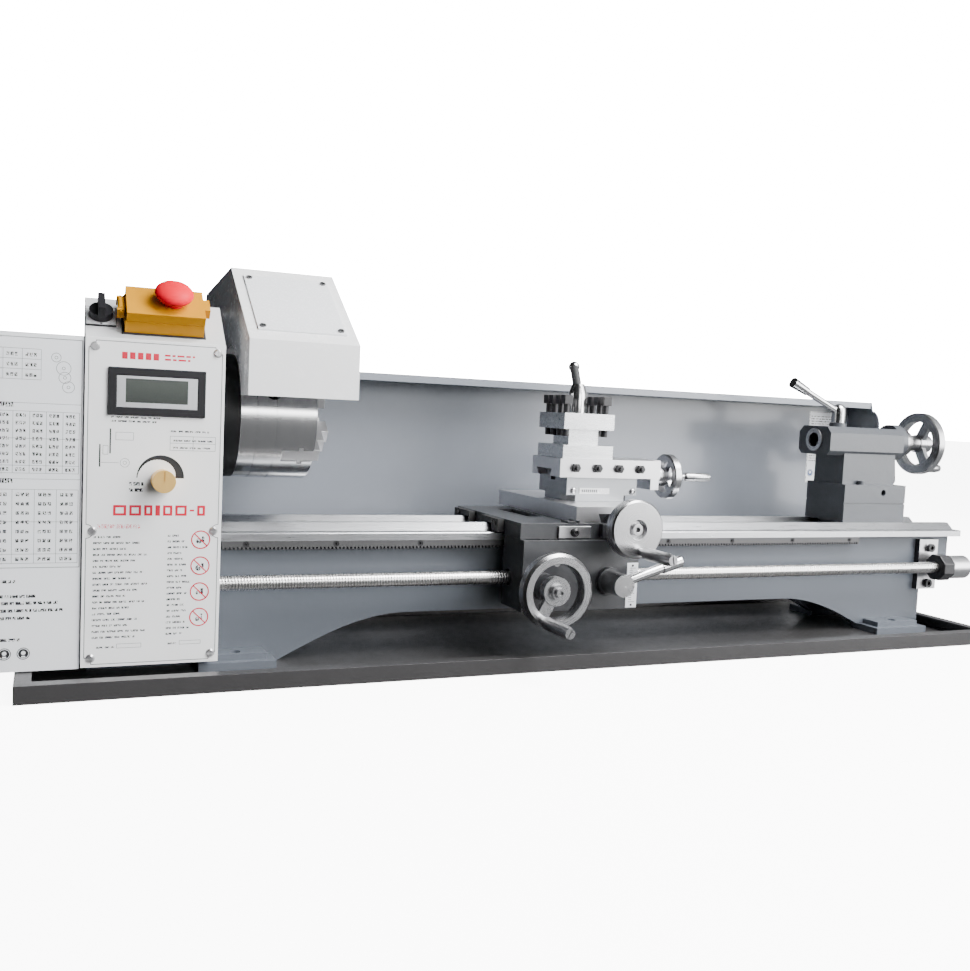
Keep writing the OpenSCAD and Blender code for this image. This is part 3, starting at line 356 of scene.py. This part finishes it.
softening = {"angle": 32, "merge": 1e-6, "flat": 0.6, "segments": 2}

def meshFrom(bm, name):
    mesh = bpy.data.meshes.new(name + "Mesh")
    bm.to_mesh(mesh)
    bm.free()
    return mesh

def shown(name, mesh, body, finish, replaced=()):
    piece = bpy.data.objects.new(name, mesh)
    bpy.context.scene.collection.objects.link(piece)
    mesh.materials.clear()
    mesh.materials.append(finish)
    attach(piece, body)
    if replaced:
        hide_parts(*replaced)
    return piece

def smoothByAngle(bm, degrees):
    for face in bm.faces:
        face.smooth = True
    for edge in bm.edges:
        edge.smooth = edge.calc_face_angle(0) < math.radians(degrees)

def softCopy(node, width, kit, finish=None):
    bm = bmesh.new()
    bm.from_mesh(nodes[node].data)
    bmesh.ops.remove_doubles(bm, verts=bm.verts, dist=kit["merge"])
    bmesh.ops.dissolve_limit(bm, angle_limit=math.radians(kit["flat"]), verts=bm.verts, edges=bm.edges)
    smoothByAngle(bm, kit["angle"])
    slot = slotOf[node]
    piece = shown(node + "Shell", meshFrom(bm, node), bodyOf[node], finish or finishes[slot], [node])
    if width:
        rounding = piece.modifiers.new("softEdges", "BEVEL")
        rounding.width, rounding.segments = width, kit["segments"]
        rounding.limit_method, rounding.angle_limit = "ANGLE", math.radians(kit["angle"])
        rounding.harden_normals = rounding.use_clamp_overlap = True

# rounding of each solid's edges in metres, 0 where it stays sharp
edgeWidth = {"bed": 0.0012, "headstock": 0.003, "control_box": 0.0012, "gear_cover": 0.0012, "guard_hood": 0.0012,
             "guard_window": 0.0004, "panel_plate": 0.0003, "chip_tray": 0.0006, "backsplash": 0.0005,
             "saddle": 0.0012, "apron": 0.0016, "cross_slide": 0.0008, "compound_base": 0.0010, "top_slide": 0.0008,
             "tool_post": 0.0009, "tool_bolts": 0.0006, "tool_post_lever": 0.0008, "tailstock": 0.0020,
             "quill": 0.0008, "tail_wheel": 0.0008, "quill_lock_lever": 0.0006, "carriage_wheel": 0.0010,
             "cross_wheel": 0.0010, "compound_wheel": 0.0008, "half_nut_lever": 0.0010, "chuck_body": 0.0008,
             "chuck_backplate": 0.0008, "chuck_jaw_1": 0.0005, "chuck_jaw_2": 0.0005, "chuck_jaw_3": 0.0005,
             "spindle": 0.0008, "estop_base": 0.0026, "estop_cover": 0.0036, "selector_knob": 0.0010,
             "leadscrew_bracket_right": 0.0012, "leadscrew_bracket_left": 0.0010, "guard_bracket": 0.0006,
             "display": 0.0006, "gib_screws": 0.0004, "saddle_wipers": 0.0006, "speed_knob": 0.0006,
             "motor": 0.0012, "gear_banjo": 0.0006, "drive_belt": 0.0004, "spindle_pulley": 0.0004,
             "half_nut_upper": 0.0006, "half_nut_lower": 0.0006, "rack": 0, "rack_screws": 0.0002,
             "panel_screws": 0, "speed_board": 0.0004, "spindle_bearings": 0.0005, "spindle_gear": 0,
             "chuck_scroll": 0.0003, "estop_button": 0.0006, "leadscrew": 0.0005, "idler_gear_a": 0,
             "idler_gear_b": 0, "motor_rotor": 0.0004, "pinion_shaft": 0}

wheelAxes = {"cross_wheel": ((0.029, 0, 0.146), "y"), "carriage_wheel": ((-0.058, 0, 0.082), "y"),
             "compound_wheel": ((0, -0.01, 0.193), "x"), "tail_wheel": ((0, 0, axisZ), "x")}
ownFinish = {node: turned(node.split("_")[0] + "Chrome", (0.47, 0.47, 0.48), centre, axis, 0.2, 2600)
             for node, (centre, axis) in wheelAxes.items()}
ownFinish["leadscrew_bracket_right"] = bracketFinish(bracketMetal)

for node, width in edgeWidth.items():
    softCopy(node, width, softening, ownFinish.get(node))
print("solids finished:", len(edgeWidth))


# printed markings, laid as thin plates on a face

class Print:
    # flat shapes drawn as (across, up) in millimetres, then set on a plane of the machine
    def __init__(self):
        self.bm = bmesh.new()

    def bar(self, x0, y0, x1, y1):
        spot = Matrix.Translation(((x0 + x1) / 2, (y0 + y1) / 2, 0)) @ Matrix.Diagonal((x1 - x0, y1 - y0, 1, 1))
        bmesh.ops.create_grid(self.bm, x_segments=1, y_segments=1, size=0.5, matrix=spot)

    def frame(self, x0, y0, x1, y1, line=0.35):
        self.bar(x0, y0, x1, y0 + line)
        self.bar(x0, y1 - line, x1, y1)
        self.bar(x0, y0 + line, x0 + line, y1 - line)
        self.bar(x1 - line, y0 + line, x1, y1 - line)

    def ring(self, x, y, radius, line, start=0, sweep=360):
        # an edge spun round the middle
        inner, outer = (self.bm.verts.new((x + r, y, 0)) for r in (radius - line, radius))
        edge = self.bm.edges.new((inner, outer))
        bmesh.ops.rotate(self.bm, verts=[inner, outer], cent=(x, y, 0),
                         matrix=Matrix.Rotation(math.radians(start), 3, "Z"))
        bmesh.ops.spin(self.bm, geom=[inner, outer, edge], cent=(x, y, 0), axis=(0, 0, 1),
                       angle=math.radians(sweep), steps=max(6, int(sweep / 9)), use_merge=sweep == 360)

    def disc(self, x, y, radius):
        bmesh.ops.create_circle(self.bm, cap_ends=True, segments=28, radius=radius,
                                matrix=Matrix.Translation((x, y, 0)))

    def words(self, x0, x1, y, height, seed=0, gap=1.6):
        # a line of short bars of uneven length stands for a line of text
        x, n = x0, seed
        while x < x1 - 1.5:
            long = 2.2 + 5.5 * ((n * 0.618034) % 1)
            end = min(x + long, x1)
            self.bar(x, y, end, y + height)
            x, n = end + gap, n + 1

    def slash(self, x, y, radius, line):
        turn = Matrix.Rotation(math.radians(-45), 4, "Z")
        spot = Matrix.Translation((x, y, 0)) @ turn @ Matrix.Diagonal((2 * radius, line, 1, 1))
        bmesh.ops.create_grid(self.bm, x_segments=1, y_segments=1, size=0.5, matrix=spot)

    def lay(self, name, plane, body, finish, slot, thick=0.00006):
        # from millimetres to metres, thickened and set on its plane
        bmesh.ops.recalc_face_normals(self.bm, faces=self.bm.faces)
        for face in self.bm.faces:
            if face.normal.z < 0:
                face.normal_flip()
        bmesh.ops.scale(self.bm, verts=self.bm.verts, vec=(0.001, 0.001, 0.001))
        top = bmesh.ops.extrude_face_region(self.bm, geom=self.bm.faces[:])["geom"]
        lifted = [v for v in top if isinstance(v, bmesh.types.BMVert)]
        bmesh.ops.translate(self.bm, verts=lifted, vec=(0, 0, thick))
        bmesh.ops.transform(self.bm, verts=self.bm.verts, matrix=plane)
        shown(name, meshFrom(self.bm, name), body, finish, ())


def facePlane(x, y, z):
    # across runs along X, up along Z, facing the operator
    return Matrix.Translation((x, y, z)) @ Matrix.Rotation(math.pi / 2, 4, "X")

def inkFinish(name, ink, paper, broken=0.0, scale=1500):
    # broken ink lets the paper show through in fine strokes, as small type does from a distance;
    # a higher value of broken shows more paper, and below zero it shows little
    f = Finish(name, {"Coat Weight": 0.2})
    if not broken:
        tone = f.mixed(f.noise(200, 2), shade(ink, 0.85), shade(ink, 1.15))
        return f.wear(tone, 0.34 + f.noise(300, 2) * 0.08)
    middle = 0.5 - broken * 0.1
    strokes = f.spread(f.noise(1, 1, 0.5, f.place((scale, scale, scale * 0.7))), middle - 0.05, middle + 0.05)
    return f.wear(f.mixed(strokes, shade(ink, 1), shade(paper, 1)), 0.34 + strokes * 0.06)

paperTone = (0.90, 0.905, 0.91)
inks = {"black": inkFinish("blackInk", (0.02, 0.02, 0.022), paperTone),
        "type": inkFinish("smallType", (0.018, 0.018, 0.022), paperTone, -0.5, 1000),
        "bold": inkFinish("boldType", (0.012, 0.012, 0.016), paperTone, -0.7, 900),
        "grey": inkFinish("greyLines", (0.11, 0.113, 0.122), paperTone),
        "red": inkFinish("redInk", (0.58, 0.006, 0.035), paperTone),
        "pink": inkFinish("pinkType", (0.66, 0.12, 0.16), paperTone, 0.2)}

panelMarks = {
    # millimetres on the plate, down from its top edge; belts run up from its lower edge, notchZ from the floor
    "border": 2.6, "notch": 6.5, "line": 0.5, "notchZ": 140,
    "belts": [(21, 191, 213), (12.5, 179, 199)],
    "dial": {"across": 64.5, "down": 122, "radius": 20.5, "steps": 20, "thin": 0.6, "thick": 6.8},
    "frames": [(26, 89, 41, 82), (15.5, 102, 20, 94), (30, 275.5, 51, 271.5), (84, 274.5, 103, 271)],
    "captions": [(22, 66, 69.5), (22, 60, 73), (72, 106, 80.5), (75, 110, 88.8), (75, 110, 95.2),
                 (13, 28, 275), (74, 82, 274)],
    "rowTop": 175, "rows": 18, "rowStep": 5.3,
    "blocks": [13, 12, 9, 6, 10, 12, 6, 9], "solidBlock": 6,
    "signs": [181, 205, 229, 252.6], "signAcross": 101}

def drawPanelBorder(lines, kit, wide, tall, midZ):
    edge, notch, line = kit["border"], kit["notch"], kit["line"]
    for low, high in ((notch + edge, midZ - notch), (midZ + notch, tall - notch - edge)):
        for x in (edge, wide - edge - line):
            lines.bar(x, low, x + line, high)
    for y in (edge, tall - edge - line):
        lines.bar(notch + edge, y, wide - notch - edge, y + line)
    for x, y, start, sweep in ((edge, edge, 0, 90), (wide - edge, edge, 90, 90), (edge, tall - edge, 270, 90),
                               (wide - edge, tall - edge, 180, 90), (edge, midZ, 270, 180),
                               (wide - edge, midZ, 90, 180)):
        lines.ring(x, y, notch, line, start, sweep)

def markPanel(kit):
    low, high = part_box("panel_plate")
    wide, tall = (high.x - low.x) * 1000, (high.z - low.z) * 1000
    plane = facePlane(low.x, low.y - 0.00001, low.z)
    def up(down): return tall - down

    lines = Print()
    drawPanelBorder(lines, kit, wide, tall, kit["notchZ"] - low.z * 1000)
    for x, z0, z1 in kit["belts"]:
        lines.bar(x, z0, x + 1.2, z1)
    knob = kit["dial"]
    lines.ring(knob["across"], up(knob["down"]), knob["radius"], 0.8, 0, 180)
    lines.lay("panelLines", plane, "frame", inks["black"], "black_plastic")

    dial = Print()
    dial.ring(knob["across"], up(knob["down"]), knob["radius"], 0.9, 0, 180)
    arc = 180 / knob["steps"]
    for step in range(knob["steps"]):  # the scale thickens from slow to fast
        line = knob["thin"] + knob["thick"] * (1 - step / (knob["steps"] - 1))
        dial.ring(knob["across"], up(knob["down"]), knob["radius"] - 0.2, line, step * arc, arc)
    dial.lay("speedScale", plane, "frame", inks["black"], "black_plastic", 0.00009)

    faint = Print()  # speed table and drive diagram
    faint.frame(72, up(97), 112, up(84), 0.3)
    faint.bar(72, up(90.5), 112, up(90.2))
    faint.bar(92, up(97), 92.3, up(84))
    faint.ring(34, up(109), 4, 0.3)
    faint.ring(34, up(109), 1.6, 0.3)
    faint.bar(14, up(109.2), 29, up(108.9))
    for x0, z0, x1, z1 in kit["frames"]:
        faint.frame(x0, up(z0), x1, up(z1), 0.3)
    faint.lay("panelFaintLines", plane, "frame", inks["grey"], "panel_print")

    small = Print()
    for i, (x0, x1, z) in enumerate(kit["captions"]):
        small.words(x0, x1, up(z), 1.5, i * 7)
    for row in range(kit["rows"]):
        line = kit["rowTop"] + row * kit["rowStep"]
        small.words(9, 24 + 26 * ((row * 0.618) % 1) + 8, up(line + 1), 1.7, row * 3)
        small.words(72, 78 + 10 * ((row * 0.37) % 1) + 5, up(line), 1.7, row * 5)
    small.lay("panelType", plane, "frame", inks["type"], "panel_print")

    strong = Print()
    for row in range(2):
        strong.words(38, 50, up(129 + row * 5.5), 3, row * 2, 1.2)
    strong.lay("panelBoldType", plane, "frame", inks["bold"], "panel_print")

    red = Print()  # plain blocks stand for the two large titles
    for i in range(5):
        red.bar(30 + i * 6.6, up(17.5), 34.6 + i * 6.6, up(11.5))
    red.words(66, 92, up(13.4), 1.6, 4)
    red.words(66, 88, up(17), 1.6, 9)
    for i, long in enumerate(kit["blocks"]):
        x = 25 + sum(kit["blocks"][:i]) + i * 0.6
        if i == kit["solidBlock"]:
            red.bar(x, up(152), x + long - 2, up(150.4))
        else:
            red.frame(x, up(156), x + long - 2, up(146.6), 2.1)
    across = kit["signAcross"]
    for z in kit["signs"]:
        red.ring(across, up(z - 3), 8.6, 1.1)
        red.slash(across, up(z - 3), 8, 1.0)
    red.lay("panelRedMarks", plane, "frame", inks["red"], "red_plastic", 0.0001)

    signs = Print()
    for i, z in enumerate(kit["signs"]):
        signs.disc(across - 1.5, up(z - 2 + (i % 2)), 2.6 if i < 2 else 1.8)
        signs.bar(across + 1, up(z - 1), across + 3.2, up(z - 6))
    signs.lay("panelSigns", plane, "frame", inks["bold"], "black_plastic")

    title = Print()
    title.words(12, 48, up(167.5), 3.6, 5, 0.9)
    title.lay("panelSubtitle", plane, "frame", inks["pink"], "red_plastic")

markPanel(panelMarks)

coverMarks = {
    # millimetres on the end cover's front, heights from the floor; tables give low, high, columns, rows, right end
    "corner": (-0.622, -0.105, 0.017), "border": (2, 108, 113, 306), "rules": [246, 181],
    "tables": [(270, 296, 5, 3, 80), (190, 243, 8, 8, 111), (112, 176, 6, 8, 111)], "left": 6,
    "gears": [(92, 290, 4), (98, 281, 6), (99, 273, 5), (102, 265, 5)],
    "type": [(95, 62), (88.5, 40), (82, 78), (76, 96), (69.5, 100), (63, 74), (50, 36), (44, 66)],
    "icons": [9, 24, 39, 54, 69], "iconZ": 33}

def drawTable(lines, figures, left, right, low, high, columns, rows):
    for c in range(columns + 1):
        x = left + (right - left) * c / columns
        lines.bar(x, low, x + 0.3, high)
    for r in (0, 1, rows / 2 + 0.5, rows):
        z = low + (high - low) * r / rows
        lines.bar(left, z, right, z + 0.3)
    wide = (right - left) / columns * 0.64
    for r in range(rows):
        for c in range(columns):
            x = left + (right - left) * (c + 0.18) / columns
            z = low + (high - low) * (r + 0.28) / rows
            for digit in range(3):
                figures.bar(x + wide * 0.34 * digit, z, x + wide * (0.34 * digit + 0.24), z + 3)

def markCover(kit):
    x, y, base = kit["corner"]
    plane = facePlane(x, y - 0.00001, base)
    base *= 1000
    lines, figures, bold = Print(), Print(), Print()
    x0, z0, x1, z1 = kit["border"]
    lines.frame(x0, z0 - base, x1, z1 - base, 0.5)
    for z in kit["rules"]:
        lines.bar(x0, z + 4 - base, x1, z + 4.3 - base)
    for low, high, columns, rows, right in kit["tables"]:
        drawTable(lines, figures, kit["left"], right, low - base, high - base, columns, rows)
    for x, z, radius in kit["gears"]:
        lines.ring(x, z - base, radius, 0.4)
        lines.ring(x, z - base, 1.4, 0.4)
    for i, (z, end) in enumerate(kit["type"]):
        bold.words(6, end, z - base, 2.6, i * 5, 1.2)
    for z in kit["rules"]:  # a title of seven letters over each table
        for i in range(7):
            bold.bar(44 + i * 2.2, z + 0.5 - base, 45.6 + i * 2.2, z + 4.6 - base)
    lines.lay("coverLines", plane, "end_cover", inks["grey"], "cover_print")
    figures.lay("coverType", plane, "end_cover", inks["type"], "cover_print")
    bold.lay("coverBoldType", plane, "end_cover", inks["bold"], "cover_print")
    icons, shapes = Print(), Print()
    z = kit["iconZ"] - base
    for x in kit["icons"]:
        icons.disc(x, z, 5.3)
        shapes.ring(x, z, 4.6, 0.5)
        shapes.disc(x, z + 0.6, 1.8)
        shapes.bar(x - 1.5, z - 3.4, x + 1.5, z - 2)
    icons.lay("coverIcons", plane, "end_cover", inks["black"], "black_plastic")
    shapes.lay("coverIconShapes", plane, "end_cover", finishes["cover_print"], "cover_print", 0.00012)

markCover(coverMarks)
print("printed markings laid")

# display, card, small plates and screws

# the screen's low and high colours are a painted reflection: its glass is darker at the foot and lighter at the top
screenKit = {"frame": (-0.481, -0.412, 0.250, 0.278), "glass": (-0.4735, -0.4205, 0.2545, 0.2755), "y": -0.10802,
             "low": (0.036, 0.042, 0.038, 1), "high": (0.075, 0.085, 0.078, 1), "silver": (0.62, 0.63, 0.65)}

def glassFinish(kit):
    f = Finish("screenGlass", {"Coat Weight": 1.0, "Coat Roughness": 0.03})
    x, y, z = f.axes()
    cell = f.noise(900, 2)
    # painted reflection: the colour grades with height, from the low colour at the glass's foot to the lighter high
    # colour at its top
    tone = f.mixed(f.spread(z, 0.254, 0.276) * 0.7 + cell * 0.2, kit["low"], kit["high"])
    return f.wear(tone, 0.16 + cell * 0.05)

def buildScreen(kit):
    x0, x1, z0, z1 = kit["frame"]
    plane = facePlane(x0, kit["y"], z0)
    wide, tall = round((x1 - x0) * 1000, 3), round((z1 - z0) * 1000, 3)
    left, right = (round((x - x0) * 1000, 3) for x in kit["glass"][:2])
    foot, head = (round((z - z0) * 1000, 3) for z in kit["glass"][2:])
    rim, edge = Print(), 0.2
    for box in ((edge, edge, wide - edge, foot), (edge, head, wide - edge, tall - edge),
                (edge, foot, left, head), (right, foot, wide - edge, head)):
        rim.bar(*box)
    silver = ground("screenSilver", kit["silver"], (900, 900, 40), 0.3)
    rim.lay("screenSurround", plane, "frame", silver, "panel_print", 0.0005)
    glass = Print()
    glass.bar(left, foot, right, head)
    glass.lay("screenGlass", plane, "frame", glassFinish(kit), "black_plastic", 0.0003)

buildScreen(screenKit)

labelKit = {"left": 0.486, "low": 0.180, "wide": 58, "tall": 104, "sheet": 0.002, "margin": 4, "border": 0.9,
            "rows": 19, "rowTop": 96, "rowStep": 3.6, "icons": 4, "iconStep": 13.5}

def stickLabel(kit):
    # safety card on the backsplash, with plain lines and round signs
    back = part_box("backsplash")[1].y - kit["sheet"]
    plane = facePlane(kit["left"], back - 0.00002, kit["low"])
    card, small, icons, shapes = Print(), Print(), Print(), Print()
    card.bar(0, 0, kit["wide"], kit["tall"])
    card.lay("labelCard", plane, "frame", finishes["cover_print"], "cover_print", 0.0002)
    plane = Matrix.Translation((0, -0.0002, 0)) @ plane
    small.frame(0.4, 0.4, kit["wide"] - 0.4, kit["tall"] - 0.4, kit["border"])
    for row in range(kit["rows"]):
        end = kit["wide"] - kit["margin"] - 14 * ((row * 0.618) % 1)
        small.words(kit["margin"], end, kit["rowTop"] - row * kit["rowStep"], 1.5, row * 3)
    for i in range(kit["icons"]):
        x = 8 + i * kit["iconStep"]
        icons.disc(x, 14, 5.4)
        shapes.ring(x, 14, 4.7, 0.5)
        shapes.disc(x, 14.8, 1.9)
    small.lay("labelType", plane, "frame", inks["type"], "cover_print")
    icons.lay("labelIcons", plane, "frame", inks["blue"], "black_plastic")
    shapes.lay("labelIconShapes", plane, "frame", finishes["cover_print"], "cover_print", 0.00012)

inks["blue"] = inkFinish("signBlue", (0.04, 0.09, 0.24), paperTone)
stickLabel(labelKit)

boxSlope = {"foot": (-0.105, 0.310), "tilt": math.atan2(37, 43)}

def slopePlane(x, up, kit):
    # the sloping top of the control box; across along X, up the slope
    y, z = kit["foot"]
    spot = (x, y + up * math.cos(kit["tilt"]), z + up * math.sin(kit["tilt"]))
    return Matrix.Translation(spot) @ Matrix.Rotation(kit["tilt"], 4, "X")

def slab(name, low, high, body, slot, soften):
    bm = bmesh.new()
    bmesh.ops.create_cube(bm, size=1)
    low, high = Vector(low), Vector(high)
    spot = Matrix.Translation((low + high) / 2) @ Matrix.Diagonal((high - low).to_4d())
    bmesh.ops.transform(bm, verts=bm.verts, matrix=spot)
    bmesh.ops.bevel(bm, geom=bm.edges, offset=soften, affect="EDGES", segments=2, profile=0.5, material=-1)
    shown(name, meshFrom(bm, name), body, finishes[slot], ())

def buttonHead(name, plane, radius, height, body, slot, socket=True):
    # domed screw head standing on a plane, with a socket sunk into it
    bm = bmesh.new()
    rim, middle = (0.7, 0.7) if socket else (1, 1.05)
    outline = [(radius, 0), (radius, height * 0.45), (radius * 0.86, height * 0.8), (radius * 0.5, height),
               (radius * 0.3, height * rim), (0, height * middle)]
    verts = [bm.verts.new((r, 0, z)) for r, z in outline]
    edges = [bm.edges.new(pair) for pair in zip(verts, verts[1:])]
    bmesh.ops.spin(bm, geom=verts + edges, cent=(0, 0, 0), axis=(0, 0, 1), angle=math.tau, steps=24, use_merge=True)
    bmesh.ops.remove_doubles(bm, verts=bm.verts, dist=1e-7)
    bmesh.ops.recalc_face_normals(bm, faces=bm.faces)
    smoothByAngle(bm, 40)
    bmesh.ops.transform(bm, verts=bm.verts, matrix=plane)
    shown(name, meshFrom(bm, name), body, finishes[slot], ())

apronRule = {"low": (0.0430, -0.11545, 0.0560), "high": (0.0565, -0.1150, 0.1050), "ticks": 17,
             "first": 6, "span": 37, "long": 10.5, "short": 7, "rivetIn": 0.003}

def stickRule(kit):
    # pale strip with a scale, on the apron
    low, high = kit["low"], kit["high"]
    slab("apronRule", low, high, "carriage", "cover_print", 0.0001)
    marks = Print()
    for i in range(kit["ticks"]):
        up = kit["first"] + i * kit["span"] / (kit["ticks"] - 1)
        marks.bar(3, up, kit["short"] if i % 4 else kit["long"], up + 0.5)
    plane = facePlane(low[0], low[1] - 0.00001, low[2])
    marks.lay("apronRuleMarks", plane, "carriage", inks["black"], "black_plastic")
    for name, z in (("apronRivetLow", low[2] + kit["rivetIn"]), ("apronRivetHigh", high[2] - kit["rivetIn"])):
        spot = facePlane((low[0] + high[0]) / 2, low[1], z)
        buttonHead(name, spot, 0.0013, 0.0006, "carriage", "black_oxide", False)

stickRule(apronRule)

swivelPlate = {"low": (0.0170, -0.04545, 0.1735), "high": (0.0560, -0.0450, 0.1800),
               "screws": (0.0095, 0.0865), "screwZ": 0.1768, "letters": 8, "step": 2.6}

def stickSwivelPlate(kit):
    low = kit["low"]
    slab("swivelPlate", low, kit["high"], "compound", "bright_screw", 0.0001)
    marks = Print()
    for i in range(kit["letters"]):
        marks.bar(3 + i * kit["step"], 1.8, 4.7 + i * kit["step"], 4.9)
    plane = facePlane(low[0], low[1] - 0.00001, low[2])
    marks.lay("swivelPlateMarks", plane, "compound", inks["grey"], "black_plastic")
    for i, x in enumerate(kit["screws"]):
        spot = facePlane(x, kit["high"][1], kit["screwZ"])
        buttonHead("swivelScrew%d" % i, spot, 0.0036, 0.0024, "compound", "bright_screw")

stickSwivelPlate(swivelPlate)

lockPlate = {"low": (-0.0385, -0.1080, 0.1313), "high": (0.0000, -0.1050, 0.1440), "bolt": (-0.0200, 0.1377)}

def fitLockPlate(kit):
    slab("saddleLockPlate", kit["low"], kit["high"], "carriage", "ground_steel", 0.0004)
    x, z = kit["bolt"]
    spot = facePlane(x, kit["low"][1], z)
    buttonHead("saddleLockBolt", spot, 0.0048, 0.0045, "carriage", "black_oxide")

fitLockPlate(lockPlate)

controlTrim = {"selectorX": -0.494, "estopX": -0.441, "up": 0.028, "seat": (36, 21.8), "skirt": 12.9,
               "skirtHeight": 0.0020, "scale": 12.2, "corner": 11.2}

def trimControls(kit):
    # rubber seat under the emergency stop, and the selector's square scale plate
    seat, skirt, plate, mark = Print(), Print(), Print(), Print()
    wide, tall = kit["seat"]
    seat.frame(-wide, -tall, wide, tall, 1.6)
    spot = slopePlane(kit["estopX"], kit["up"], boxSlope)
    seat.lay("estopSeat", spot, "frame", finishes["wiper_rubber"], "wiper_rubber", 0.0012)
    spot = slopePlane(kit["selectorX"], kit["up"], boxSlope)
    half = kit["skirt"]
    skirt.frame(-half, -half, half, half, 0.4)
    skirt.lay("selectorSkirt", spot, "frame", finishes["black_plastic"], "black_plastic", kit["skirtHeight"])
    plate.ring(0, 0, kit["scale"], 1.0)
    far, near = -kit["corner"], kit["corner"] - 3
    for x, y in ((far, far), (near, far), (far, near), (near, near)):
        plate.bar(x, y, x + 3, y + 3)
    above = spot @ Matrix.Translation((0, 0, kit["skirtHeight"] + 0.00001))
    plate.lay("selectorPlate", above, "frame", finishes["cover_print"], "cover_print", 0.00012)
    mark.bar(-1.0, -12.0, 1.0, -10.4)
    above = above @ Matrix.Translation((0, 0, 0.00013))
    mark.lay("selectorMark", above, "frame", inks["black"], "black_plastic")

trimControls(controlTrim)

screwLine = (-0.078, 0.086)  # y and z of the lead screw's axis

bracketNose = {"from": 0.5310, "to": 0.5489, "radius": 0.0176, "facets": 8}

def fitBracketNose(kit):
    # eight-sided black boss where the lead screw enters its right bracket
    bm = bmesh.new()
    middle = Matrix.Translation(((kit["from"] + kit["to"]) / 2, *screwLine))
    turn = Matrix.Rotation(math.pi / 2, 4, "Y") @ Matrix.Rotation(math.pi / kit["facets"], 4, "Z")
    bmesh.ops.create_cone(bm, cap_ends=True, segments=kit["facets"], radius1=kit["radius"], radius2=kit["radius"],
                          depth=kit["to"] - kit["from"], matrix=middle @ turn)
    bmesh.ops.bevel(bm, geom=bm.edges, offset=0.0008, affect="EDGES", segments=2, profile=0.5, material=-1)
    shown("bracketNose", meshFrom(bm, "bracketNose"), "frame", finishes["black_oxide"], ())

fitBracketNose(bracketNose)

threadKit = {"from": -0.464, "to": 0.545, "pitch": 0.003, "core": 0.0069, "crest": 0.00715, "steps": 24}

def cutThread(kit):
    # one turn of the ridge, repeated by an array at each pitch
    y, z = screwLine
    start, pitch, core, crest = kit["from"], kit["pitch"], kit["core"], kit["crest"]
    bm = bmesh.new()
    outline = ((0, core), (pitch * 0.22, crest), (pitch * 0.5, crest), (pitch * 0.72, core))
    profile = [bm.verts.new((start + along, y, z + radius)) for along, radius in outline]
    edges = [bm.edges.new(pair) for pair in zip(profile, profile[1:])]
    bmesh.ops.spin(bm, geom=profile + edges, cent=(0, y, z), axis=(1, 0, 0), dvec=(pitch / kit["steps"], 0, 0),
                   angle=math.tau, steps=kit["steps"])
    bmesh.ops.recalc_face_normals(bm, faces=bm.faces)
    outward = sum((face.calc_center_median() - Vector((face.calc_center_median().x, y, z))).dot(face.normal)
                  for face in bm.faces)
    if outward < 0:
        bmesh.ops.reverse_faces(bm, faces=bm.faces)
    smoothByAngle(bm, 40)
    ridge = shown("leadscrewThread", meshFrom(bm, "leadscrewThread"), "leadscrew", finishes["screw_steel"],
                  ())
    turns = ridge.modifiers.new("turns", "ARRAY")
    turns.count = int((kit["to"] - start) / pitch)
    turns.use_relative_offset, turns.use_constant_offset = False, True
    turns.constant_offset_displace = (pitch, 0, 0)
    turns.use_merge_vertices, turns.merge_threshold = True, 0.00001

cutThread(threadKit)
print("display, plates, screws and thread made")

# floor

def floorMaterial(colour, glow):
    f = Finish("paleFloor", {"Roughness": 0.6, "Emission Color": (1, 1, 1, 1), "Emission Strength": glow})
    return f.wear(f.mixed(f.noise(3, 2) * 0.2, shade(colour, 0.99), shade(colour, 1.0)))

def layFloor(kit):
    bm = bmesh.new()
    bmesh.ops.create_grid(bm, x_segments=1, y_segments=1, size=30)
    mesh = meshFrom(bm, "floor")
    floor = bpy.data.objects.new("floor", mesh)
    floor.location.z = -0.0005
    mesh.materials.append(floorMaterial(kit["floor"], kit["floorGlow"]))
    bpy.context.scene.collection.objects.link(floor)
    floor.visible_diffuse = floor.visible_glossy = False

layFloor(studio)

print("scene ready")
